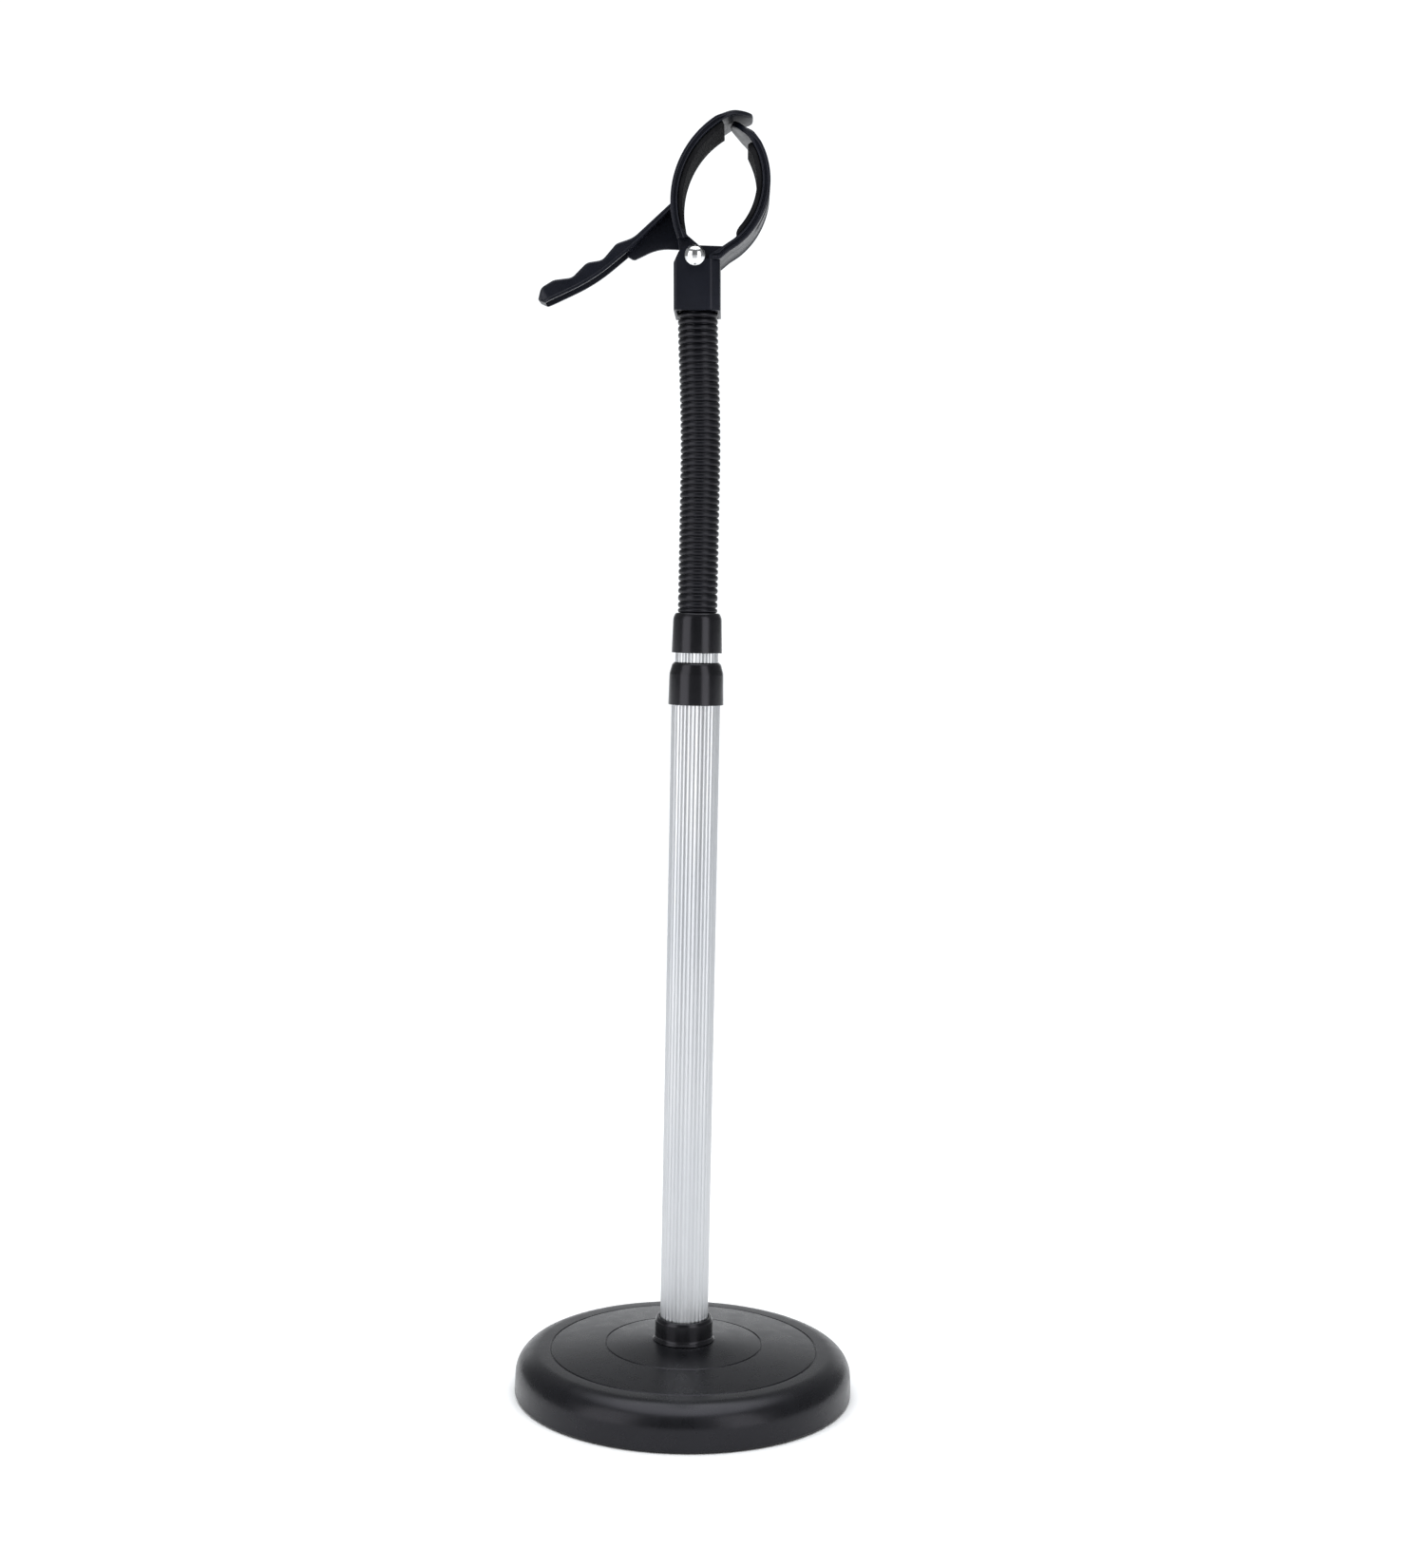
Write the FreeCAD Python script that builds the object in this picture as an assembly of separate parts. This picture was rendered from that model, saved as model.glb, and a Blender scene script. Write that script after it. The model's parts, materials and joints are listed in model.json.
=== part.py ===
"""Hands-free hair-dryer stand: weighted round base, telescopic ribbed pole with a
twist lock, flexible gooseneck and a spring clamp with a squeeze lever.

Frame: millimetres, +Z up, origin on the ground under the middle of the base.
The clamp's pivot rivet runs along Y, its jaws open in the XZ plane.
"""
import FreeCAD, Part
import math
import os

from FreeCAD import Vector

# ---------------------------------------------------------------- driving dimensions
BASE_RADIUS = 87.6          # outer radius of the round base at its side wall
BASE_SHELL_BOTTOM = 0.4     # the shell hangs this far above the ground on its foot ring
BASE_EDGE_TOP = 22.4        # height of the top's outer edge, before it is rounded
BASE_EDGE_ROUND = 12.5
BASE_TOP_CENTRE = 28.0      # height of the top where it meets the collar
BASE_WALL = 2.6
BASE_GROOVE_RADII = (69.2, 40.6)
BASE_GROOVE_SECTION = 0.55  # radius of the round groove's section
COLLAR_RADIUS = 15.0
COLLAR_FOOT_RADIUS = 16.6
COLLAR_TOP = 40.0

PLATE_BOTTOM = 1.6          # bottom plate lies on the foot ring's top face
PLATE_THICKNESS = 2.0
PLATE_RADIUS = 83.4
PLATE_SCREW_CIRCLE = 68.0
PLATE_SCREW_COUNT = 4

SOCKET_FLOOR = 14.0         # the lower pole stands on this floor inside the base
SOCKET_FLOOR_THICKNESS = 3.0
BOLT_RADIUS = 3.5           # M8 at its thread root, so the bolt and its hole stay apart

LOWER_POLE_RADIUS = 12.5
LOWER_POLE_BORE = 11.3
LOWER_POLE_TOP = 374.0
UPPER_POLE_RADIUS = 10.95
UPPER_POLE_BORE = 9.8
UPPER_POLE_BOTTOM = 66.0
UPPER_POLE_TOP = 393.0
POLE_RIBS = 30
RIB_DEPTH = 0.35

LOWER_FERRULE_BOTTOM = 359.0
LOWER_FERRULE_TOP = 380.5
UPPER_FERRULE_BOTTOM = 385.4
UPPER_FERRULE_TOP = 405.6

LOCK_BOTTOM = 46.0          # the twist lock sits below the upper pole's lower end
LOCK_TOP = 63.0
LOCK_SLOT = 1.6

RING_PITCH = 3.2            # corrugations of the gooseneck cover
RING_WIDTH = 1.8
RING_RADIUS = 10.1
VALLEY_RADIUS = 8.0
COVER_BORE = 7.0
CORE_RADIUS = 6.0
BALL_RADIUS = 3.6
RINGS_PER_LINK = 4
LINK_PITCH = RINGS_PER_LINK * RING_PITCH
LINK_COUNT = 11             # free links between the upper pole and the clamp's bracket
BEND_LIMIT_DEG = 15.0       # each gooseneck joint, either way
FIRST_BEND_Z = UPPER_FERRULE_TOP + RING_PITCH
# Cover ends are cut back so that neighbouring rings just clear each other at the limit.
COVER_END = RING_RADIUS * math.tan(math.radians(BEND_LIMIT_DEG / 2)) - 0.18
# The neck stands straight and leans a little to -X near its top: the lean of each link.
LINK_LEAN_DEG = (0, 0, 0, 0, 0, 0, 1.4, 2.1, 2.7, 3.1, 2.3)
HEAD_LEAN_DEG = 1.2
HEAD_FLOOR = 19.6           # underside of the bracket's floor above the neck's last joint
HEAD_FLOOR_THICKNESS = 2.6
STUD_RADIUS = 3.4           # threaded end of the neck's top fitting
NUT_RADIUS = 6.3            # corner radius of the nut on that thread
NUT_HEIGHT = 3.6

PIVOT_X = -4.26             # axis of the clamp's rivet
PIVOT_Z = 581.4
JAW_HALF_WIDTH = 20.0
PAD_HALF_WIDTH = 18.5
RIVET_RADIUS = 2.5
RIVET_HEAD_RADIUS = 5.0
RIVET_HEAD_HEIGHT = 2.8
PIVOT_CLEARANCE = 0.1

# Clamp arcs, measured from the pivot: centre, outer radius, thickness of the plate.
LEVER_ARC_CENTRE = (36.2, 26.9)
LEVER_ARC_RADIUS = 48.5
LEVER_BAND = 3.2
LEVER_PAD = 2.4
FIXED_ARC_CENTRE = (-3.2, 36.4)
FIXED_ARC_RADIUS = 39.3
FIXED_BAND = 3.6
FIXED_PAD = 2.7
FIXED_ROOT_DEG = -52.0
FIXED_TONGUE_DEG = 36.0     # from here up the fixed jaw thins into a rounded tongue
FIXED_TIP_DEG = 57.0
FIXED_FOOT_DEG = -75.0      # the jaw's foot tapers from its root down to here
TONGUE_ROUND = 18.0         # rounding of both jaws' ends, seen from above
EDGE_GROOVE_WIDTH = 0.9     # the line moulded into the jaws' front and back edges
EDGE_GROOVE_DEPTH = 1.0

BRACKET_LEFT = -10.6        # bracket faces, measured from the pivot
BRACKET_RIGHT = 12.4
BRACKET_BOTTOM = -26.6
BRACKET_TOP = -1.7
BRACKET_WALL = 1.2
BRACKET_BEVEL = (4.6, 3.4)  # bevel of the right upright edges, along X and Y
BRACKET_POST = 3.2          # side of the post that backs each bevelled edge inside
CHEEK = 2.2

HANDLE_HALF_WIDTH = 9.5
HANDLE_WALL = 1.8

SPRING_WIRE = 0.9           # radius of the spring's wire
SPRING_MEAN_RADIUS = 5.0
SPRING_TURNS = 7
SPRING_PITCH = 2.1
SPRING_LEG = 5.5            # length of the leg that pushes the lever
SPRING_LEG_OFFSET = 1.6     # from the coil's end to that leg, along the rivet

OUT = "parts"
Z_AXIS = Vector(0, 0, 1)


# ---------------------------------------------------------------- drawing helpers
def corner_arc(before, corner, after, radius):
    """Ends and middle of the arc of this radius that rounds a corner of an outline."""
    to_before = (before - corner).normalize()
    to_after = (after - corner).normalize()
    half = to_before.getAngle(to_after) / 2
    reach = radius / math.tan(half)
    bisector = (to_before + to_after).normalize()
    centre = corner + bisector * (radius / math.sin(half))
    middle = centre - bisector * radius
    return corner + to_before * reach, middle, corner + to_after * reach


def outline(corners, place):
    """A face from corners (a, b) or (a, b, rounding), put in space by place(a, b)."""
    flat = [Vector(c[0], c[1], 0) for c in corners]
    rounding = [c[2] if len(c) > 2 else 0 for c in corners]
    edges = []
    ends = []
    for i, corner in enumerate(flat):
        if rounding[i] > 0:
            ends.append(corner_arc(flat[i - 1], corner, flat[(i + 1) % len(flat)], rounding[i]))
        else:
            ends.append((corner, None, corner))
    for i, (start, middle, end) in enumerate(ends):
        start_3d = place(start.x, start.y)
        end_3d = place(end.x, end.y)
        if middle is not None:
            edges.append(Part.Arc(start_3d, place(middle.x, middle.y), end_3d).toShape())
        following = ends[(i + 1) % len(ends)][0]
        following_3d = place(following.x, following.y)
        if end_3d.distanceToPoint(following_3d) > 1e-6:
            edges.append(Part.LineSegment(end_3d, following_3d).toShape())
    return Part.Face(Part.Wire(edges))


def turned(corners):
    """A body turned about Z from corners (radius, height) or (radius, height, rounding)."""
    face = outline(corners, lambda r, z: Vector(r, 0, z))
    return face.revolve(Vector(0, 0, 0), Z_AXIS, 360)


def tube(outer, inner, bottom, top):
    """A plain round tube about Z."""
    body = Part.makeCylinder(outer, top - bottom, Vector(0, 0, bottom))
    return body.cut(Part.makeCylinder(inner, top - bottom, Vector(0, 0, bottom)))


def ribbed_tube(outer, bore, bottom, top):
    """A pole whose outside has round ribs side by side, with a plain round bore."""
    step = 2 * math.pi / POLE_RIBS
    valley = outer - RIB_DEPTH
    edges = []
    for i in range(POLE_RIBS):
        angles = (i * step, (i + 0.5) * step, (i + 1) * step)
        points = [Vector(r * math.cos(a), r * math.sin(a), bottom)
                  for r, a in zip((valley, outer, valley), angles)]
        edges.append(Part.Arc(*points).toShape())
    bore_edge = Part.makeCircle(bore, Vector(0, 0, bottom))
    face = Part.Face(Part.Wire(edges)).cut(Part.Face(Part.Wire(bore_edge)))
    return face.extrude(Vector(0, 0, top - bottom))


def slab(corners, y_from, y_to):
    """A plate with an outline in the clamp's XZ plane, measured from the pivot."""
    face = outline(corners, lambda x, z: Vector(PIVOT_X + x, y_from, PIVOT_Z + z))
    return face.extrude(Vector(0, y_to - y_from, 0))


def pair_of_slabs(corners, y_near, y_far):
    """The same plate on both sides of the clamp's middle."""
    return [slab(corners, y_near, y_far), slab(corners, -y_far, -y_near)]


def on_arc(centre, radius, angle_deg):
    """A point of a circle in the clamp's plane."""
    angle = math.radians(angle_deg)
    return centre[0] + radius * math.cos(angle), centre[1] + radius * math.sin(angle)


def arc_band(centre, outer, inner, start_deg, end_deg, y_from, y_to):
    """A curved plate between two circles, from one angle to another."""
    middle_deg = (start_deg + end_deg) / 2

    def at(radius, angle_deg):
        x, z = on_arc(centre, radius, angle_deg)
        return Vector(PIVOT_X + x, y_from, PIVOT_Z + z)

    edges = [
        Part.Arc(at(outer, start_deg), at(outer, middle_deg), at(outer, end_deg)).toShape(),
        Part.LineSegment(at(outer, end_deg), at(inner, end_deg)).toShape(),
        Part.Arc(at(inner, end_deg), at(inner, middle_deg), at(inner, start_deg)).toShape(),
        Part.LineSegment(at(inner, start_deg), at(outer, start_deg)).toShape(),
    ]
    return Part.Face(Part.Wire(edges)).extrude(Vector(0, y_to - y_from, 0))


def cross_pin(radius, y_from, y_to):
    """A cylinder along Y about the clamp's pivot."""
    start = Vector(PIVOT_X, y_from, PIVOT_Z)
    return Part.makeCylinder(radius, y_to - y_from, start, Vector(0, 1, 0))


def lean(shape, angle_deg, x, z):
    """Lean a shape towards -X about the line along Y through (x, z)."""
    leaned = shape.copy()
    leaned.rotate(Vector(x, 0, z), Vector(0, 1, 0), -angle_deg)
    return leaned


def joined(shapes):
    """One solid from overlapping shapes."""
    return shapes[0].multiFuse(shapes[1:]).removeSplitter()


def save(shape, name):
    """Write one named piece as its own STEP file."""
    if not shape.isValid():
        raise ValueError(name + " is not a valid shape")
    shape.exportStep(os.path.join(OUT, name + ".step"))


# ---------------------------------------------------------------- base
def base_top_height(radius):
    """Height of the base's gently rising top at a radius."""
    edge_radius = BASE_RADIUS - BASE_EDGE_ROUND
    share = (edge_radius - radius) / (edge_radius - COLLAR_FOOT_RADIUS)
    return BASE_EDGE_TOP + share * (BASE_TOP_CENTRE - BASE_EDGE_TOP)


def screw_places():
    """Centres of the bottom plate's screws."""
    step = 2 * math.pi / PLATE_SCREW_COUNT
    angles = [step * (i + 0.5) for i in range(PLATE_SCREW_COUNT)]
    return [(PLATE_SCREW_CIRCLE * math.cos(a), PLATE_SCREW_CIRCLE * math.sin(a)) for a in angles]


def base_shell():
    socket_radius = LOWER_POLE_RADIUS + 0.1
    socket_wall = 2.6
    floor_bottom = SOCKET_FLOOR - SOCKET_FLOOR_THICKNESS
    hub_top = base_top_height(COLLAR_RADIUS) - 0.1
    spigot_radius = COLLAR_RADIUS - 0.4
    spigot_bottom = 22.0
    inner = BASE_RADIUS - BASE_WALL
    under_top = BASE_WALL + 0.2
    profile = [
        (BASE_RADIUS - 0.5, BASE_SHELL_BOTTOM),
        (BASE_RADIUS, BASE_SHELL_BOTTOM + 1.2),
        (BASE_RADIUS - 0.7, BASE_EDGE_TOP, BASE_EDGE_ROUND),
        (spigot_radius + 0.1, hub_top),
        (spigot_radius + 0.1, spigot_bottom),
        (socket_radius, spigot_bottom),
        (socket_radius, SOCKET_FLOOR),
        (BOLT_RADIUS + 0.3, SOCKET_FLOOR),
        (BOLT_RADIUS + 0.3, floor_bottom),
        (socket_radius + socket_wall, floor_bottom),
        (socket_radius + socket_wall, base_top_height(socket_radius + socket_wall) - under_top),
        (inner - 0.7, base_top_height(inner) - under_top + 0.9, BASE_EDGE_ROUND - BASE_WALL),
        (inner, BASE_SHELL_BOTTOM),
    ]
    shell = turned(profile)
    grooves = [Part.makeTorus(r, BASE_GROOVE_SECTION, Vector(0, 0, base_top_height(r) + 0.12))
               for r in BASE_GROOVE_RADII]
    boss_bottom = PLATE_BOTTOM + PLATE_THICKNESS
    bosses = []
    pilot_holes = []
    for x, y in screw_places():
        height = base_top_height(PLATE_SCREW_CIRCLE) - 1.5 - boss_bottom
        bosses.append(Part.makeCylinder(4.0, height, Vector(x, y, boss_bottom)))
        pilot_holes.append(Part.makeCylinder(1.7, 13.0, Vector(x, y, boss_bottom)))
    return joined([shell] + bosses).cut(grooves + pilot_holes)


def base_weight():
    outer = BASE_RADIUS - BASE_WALL - 2.5
    hub = LOWER_POLE_RADIUS + 3.2
    gap_under_shell = BASE_WALL + 1.0
    bottom = PLATE_BOTTOM + PLATE_THICKNESS + 0.4
    shoulder = outer - 7.0
    ring = turned([
        (hub, bottom),
        (outer, bottom),
        (outer, 12.0),
        (shoulder, base_top_height(shoulder) - gap_under_shell),
        (hub, base_top_height(hub) - gap_under_shell),
    ])
    holes = [Part.makeCylinder(4.8, 30.0, Vector(x, y, 0)) for x, y in screw_places()]
    return ring.cut(holes)


def bottom_plate():
    plate = Part.makeCylinder(PLATE_RADIUS, PLATE_THICKNESS, Vector(0, 0, PLATE_BOTTOM))
    sinks = []
    for x, y in screw_places():
        sinks.append(Part.makeCone(3.5, 1.9, PLATE_THICKNESS, Vector(x, y, PLATE_BOTTOM)))
    return plate.cut(sinks)


def bottom_plate_screws():
    """Four countersunk screws with a slotted head, in one node."""
    screws = []
    for x, y in screw_places():
        head = Part.makeCone(3.2, 1.5, 1.9, Vector(x, y, PLATE_BOTTOM + 0.1))
        shank = Part.makeCylinder(1.5, 13.0, Vector(x, y, PLATE_BOTTOM + 1.0))
        slot = Part.makeBox(5.0, 0.8, 0.7, Vector(x - 2.5, y - 0.4, PLATE_BOTTOM + 0.1))
        screws.append(head.fuse(shank).cut(slot).removeSplitter())
    return Part.makeCompound(screws)


def foot_ring():
    return turned([
        (74.0, 0, 0.6),
        (81.0, 0, 0.6),
        (81.0, PLATE_BOTTOM),
        (74.0, PLATE_BOTTOM),
    ])


def centre_bolt():
    """Hex bolt that pulls the pole's foot plug down on to the socket floor."""
    across_corners = 13.0 / math.cos(math.pi / 6)
    head_top = SOCKET_FLOOR - SOCKET_FLOOR_THICKNESS - 1.6
    head_bottom = head_top - 5.3
    corners = []
    for i in range(6):
        angle = math.pi / 3 * i
        corners.append((across_corners / 2 * math.cos(angle), across_corners / 2 * math.sin(angle)))
    head = outline(corners, lambda x, y: Vector(x, y, head_bottom)).extrude(Vector(0, 0, 5.3))
    shank = Part.makeCylinder(BOLT_RADIUS, 22.0, Vector(0, 0, head_top - 0.5))
    return head.fuse(shank).removeSplitter()


def centre_washer():
    top = SOCKET_FLOOR - SOCKET_FLOOR_THICKNESS
    return tube(11.0, BOLT_RADIUS + 0.3, top - 1.6, top)


def pole_foot_plug():
    return tube(LOWER_POLE_BORE - 0.05, BOLT_RADIUS + 0.1, SOCKET_FLOOR, SOCKET_FLOOR + 20.0)


def base_collar():
    """Black collar round the pole's foot, with a spigot that sits in the shell."""
    bore = LOWER_POLE_RADIUS + 0.1
    seat = base_top_height(COLLAR_FOOT_RADIUS)
    return turned([
        (bore, 22.2),
        (COLLAR_RADIUS - 0.4, 22.2),
        (COLLAR_RADIUS - 0.4, seat + 0.15),
        (COLLAR_FOOT_RADIUS, seat + 0.15),
        (COLLAR_RADIUS, seat + 2.0, 1.5),
        (COLLAR_RADIUS, COLLAR_TOP, 1.8),
        (bore, COLLAR_TOP),
    ])


# ---------------------------------------------------------------- telescopic pole
def lower_pole():
    return ribbed_tube(LOWER_POLE_RADIUS, LOWER_POLE_BORE, SOCKET_FLOOR, LOWER_POLE_TOP)


def lower_ferrule():
    """Cap on the lower pole; its top lip guides the upper pole."""
    guide = UPPER_POLE_RADIUS + 0.2
    return turned([
        (LOWER_POLE_RADIUS + 0.05, LOWER_FERRULE_BOTTOM),
        (14.05, LOWER_FERRULE_BOTTOM),
        (13.75, LOWER_FERRULE_TOP - 5.5, 6.0),
        (12.4, LOWER_FERRULE_TOP, 1.6),
        (guide, LOWER_FERRULE_TOP),
        (guide, LOWER_POLE_TOP + 0.1),
        (LOWER_POLE_RADIUS + 0.05, LOWER_POLE_TOP + 0.1),
    ])


def upper_pole():
    return ribbed_tube(UPPER_POLE_RADIUS, UPPER_POLE_BORE, UPPER_POLE_BOTTOM, UPPER_POLE_TOP)


def upper_ferrule():
    """Black sleeve that joins the upper pole and the gooseneck."""
    bore = UPPER_POLE_RADIUS + 0.05
    return turned([
        (bore, UPPER_FERRULE_BOTTOM),
        (12.85, UPPER_FERRULE_BOTTOM),
        (12.35, UPPER_FERRULE_TOP - 2.6, 4.0),
        (11.3, UPPER_FERRULE_TOP, 1.2),
        (VALLEY_RADIUS + 0.1, UPPER_FERRULE_TOP),
        (VALLEY_RADIUS + 0.1, UPPER_POLE_TOP + 0.2),
        (bore, UPPER_POLE_TOP + 0.2),
    ])


def lock_expander():
    """Split sleeve that the twist of the upper pole spreads inside the lower pole."""
    sleeve = turned([
        (7.7, LOCK_BOTTOM),
        (LOWER_POLE_BORE - 0.2, LOCK_BOTTOM, 0.6),
        (LOWER_POLE_BORE - 0.2, LOCK_TOP, 0.6),
        (5.7, LOCK_TOP),
    ])
    slot = Part.makeBox(LOWER_POLE_BORE, LOCK_SLOT, 30.0,
                        Vector(0, -LOCK_SLOT / 2, LOCK_BOTTOM - 5.0))
    return sleeve.cut(slot)


def lock_cone():
    """Tapered nut on the stud: it is drawn up into the split sleeve."""
    return turned([
        (3.2, LOCK_BOTTOM - 2.0),
        (7.8, LOCK_BOTTOM - 2.0),
        (7.55, LOCK_BOTTOM),
        (5.6, LOCK_TOP - 1.0),
        (3.2, LOCK_TOP - 1.0),
    ])


def lock_plug():
    """Plug pressed in the upper pole's lower end; it carries the lock's stud."""
    return turned([
        (3.0, LOCK_TOP + 1.0),
        (UPPER_POLE_RADIUS - 0.2, LOCK_TOP + 1.0),
        (UPPER_POLE_RADIUS - 0.2, UPPER_POLE_BOTTOM),
        (UPPER_POLE_BORE - 0.05, UPPER_POLE_BOTTOM),
        (UPPER_POLE_BORE - 0.05, UPPER_POLE_BOTTOM + 18.0, 1.0),
        (3.0, UPPER_POLE_BOTTOM + 18.0),
    ])


def lock_stud():
    return Part.makeCylinder(2.95, 36.0, Vector(0, 0, LOCK_BOTTOM - 4.0))


# ---------------------------------------------------------------- gooseneck
def bend_points():
    """Centre of each gooseneck joint, from the upper pole up to the bracket."""
    x, z = 0.0, FIRST_BEND_Z
    points = [(x, z)]
    for lean_deg in LINK_LEAN_DEG:
        x -= LINK_PITCH * math.sin(math.radians(lean_deg))
        z += LINK_PITCH * math.cos(math.radians(lean_deg))
        points.append((x, z))
    return points


def cover_rings(first_valley, ring_count, bottom, top):
    """Corrugated sleeve: rings on a thin tube, upright at the origin.

    Ring i lies half a pitch above valley i. The ends at a joint are cut back so that
    neighbouring rings just clear each other when the joint is fully bent.
    """
    sleeve = Part.makeCylinder(VALLEY_RADIUS, top - bottom, Vector(0, 0, bottom))
    rings = []
    for i in range(ring_count):
        middle = first_valley + (i + 0.5) * RING_PITCH
        low = max(middle - RING_WIDTH / 2, bottom + 0.3)
        high = min(middle + RING_WIDTH / 2, top - 0.3)
        rings.append(turned([(COVER_BORE + 0.5, low), (RING_RADIUS, low, 0.4),
                             (RING_RADIUS, high, 0.4), (COVER_BORE + 0.5, high)]))
    bore = Part.makeCylinder(COVER_BORE, top - bottom, Vector(0, 0, bottom))
    return joined([sleeve] + rings).cut(bore)


def cup(height):
    """Top of a core piece: a socket round the ball of the next one, at this height."""
    lip = 1.5
    solid = Part.makeCylinder(CORE_RADIUS, 6.0, Vector(0, 0, height - 4.5))
    cavity = Part.makeSphere(BALL_RADIUS + 0.15, Vector(0, 0, height))
    above = Part.makeCylinder(CORE_RADIUS + 1, 5.0, Vector(0, 0, height + lip))
    return solid.cut([cavity, above])


def ball_stem(stem_top):
    """Foot of a core piece: a ball at its joint and the stem that carries it."""
    ball = Part.makeSphere(BALL_RADIUS)
    stem = Part.makeCylinder(2.0, stem_top, Vector(0, 0, 0))
    return ball.fuse(stem)


def cover_seat(bottom, top):
    """Inner band of the cover that grips the core."""
    return tube(COVER_BORE + 0.5, CORE_RADIUS, bottom, top)


def link_core():
    """One piece of the flexible core, with its lower joint at the origin."""
    body = Part.makeCylinder(CORE_RADIUS, LINK_PITCH - 4.5 - 4.4, Vector(0, 0, 4.5))
    return joined([ball_stem(5.0), body, cup(LINK_PITCH)])


def link_cover():
    """Four rings of the corrugated cover, with the lower joint at the origin."""
    sleeve = cover_rings(0, RINGS_PER_LINK, COVER_END, LINK_PITCH - COVER_END)
    return sleeve.fuse(cover_seat(4.8, 8.0)).removeSplitter()


def gooseneck_links():
    """Cores and covers of the free links, each leaned into its resting place."""
    pieces = {}
    core = link_core()
    cover = link_cover()
    for i, ((x, z), lean_deg) in enumerate(zip(bend_points(), LINK_LEAN_DEG), start=1):
        for kind, shape in (("core", core), ("cover", cover)):
            placed = shape.copy()
            placed.translate(Vector(x, 0, z))
            pieces["gooseneck_%s_%02d" % (kind, i)] = lean(placed, lean_deg, x, z)
    return pieces


def gooseneck_core_00():
    """Lowest core piece, screwed in the lower fitting; its socket takes the first link."""
    stem_bottom = UPPER_POLE_TOP - 8.0
    lower = Part.makeCylinder(CORE_RADIUS, FIRST_BEND_Z - 4.0 - stem_bottom, Vector(0, 0, stem_bottom))
    return joined([lower, cup(FIRST_BEND_Z)])


def gooseneck_cover_00():
    """Lowest end of the cover, held in the upper ferrule."""
    bottom = UPPER_POLE_TOP + 0.4
    sleeve = cover_rings(UPPER_FERRULE_TOP, 1, bottom, FIRST_BEND_Z - COVER_END)
    return sleeve.fuse(cover_seat(bottom, bottom + 6.0)).removeSplitter()


def gooseneck_lower_fitting():
    """Steel sleeve pressed in the upper pole's top; the core is fixed in it."""
    return tube(UPPER_POLE_BORE - 0.05, CORE_RADIUS + 0.05, UPPER_POLE_TOP - 20.0, UPPER_POLE_TOP)


def head_place(shape):
    """Move a piece drawn upright on the neck's last joint to its resting place."""
    x, z = bend_points()[-1]
    placed = shape.copy()
    placed.translate(Vector(x, 0, z))
    return lean(placed, HEAD_LEAN_DEG, x, z)


def gooseneck_core_12():
    """Top fitting of the core: ball below, flange and threaded end through the floor."""
    shaft = Part.makeCylinder(CORE_RADIUS, HEAD_FLOOR - 4.5, Vector(0, 0, 4.5))
    flange = Part.makeCylinder(8.5, 2.0, Vector(0, 0, HEAD_FLOOR - 2.0))
    thread_length = HEAD_FLOOR_THICKNESS + NUT_HEIGHT - 0.7
    thread = Part.makeCylinder(STUD_RADIUS, thread_length + 0.5, Vector(0, 0, HEAD_FLOOR - 0.5))
    return head_place(joined([ball_stem(5.0), shaft, flange, thread]))


def gooseneck_cover_12():
    """Top end of the cover, inside the bracket's mouth."""
    sleeve = cover_rings(0, 5, COVER_END, HEAD_FLOOR - 2.2)
    return head_place(sleeve.fuse(cover_seat(5.0, 12.0)).removeSplitter())


def neck_nut():
    """Hexagonal nut that holds the neck on the bracket's floor."""
    bottom = HEAD_FLOOR + HEAD_FLOOR_THICKNESS
    corners = []
    for i in range(6):
        angle = math.pi / 3 * i
        corners.append((NUT_RADIUS * math.cos(angle), NUT_RADIUS * math.sin(angle)))
    body = outline(corners, lambda x, y: Vector(x, y, bottom)).extrude(Vector(0, 0, NUT_HEIGHT))
    hole = Part.makeCylinder(STUD_RADIUS + 0.1, NUT_HEIGHT + 2, Vector(0, 0, bottom - 1))
    return head_place(body.cut(hole))


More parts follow.
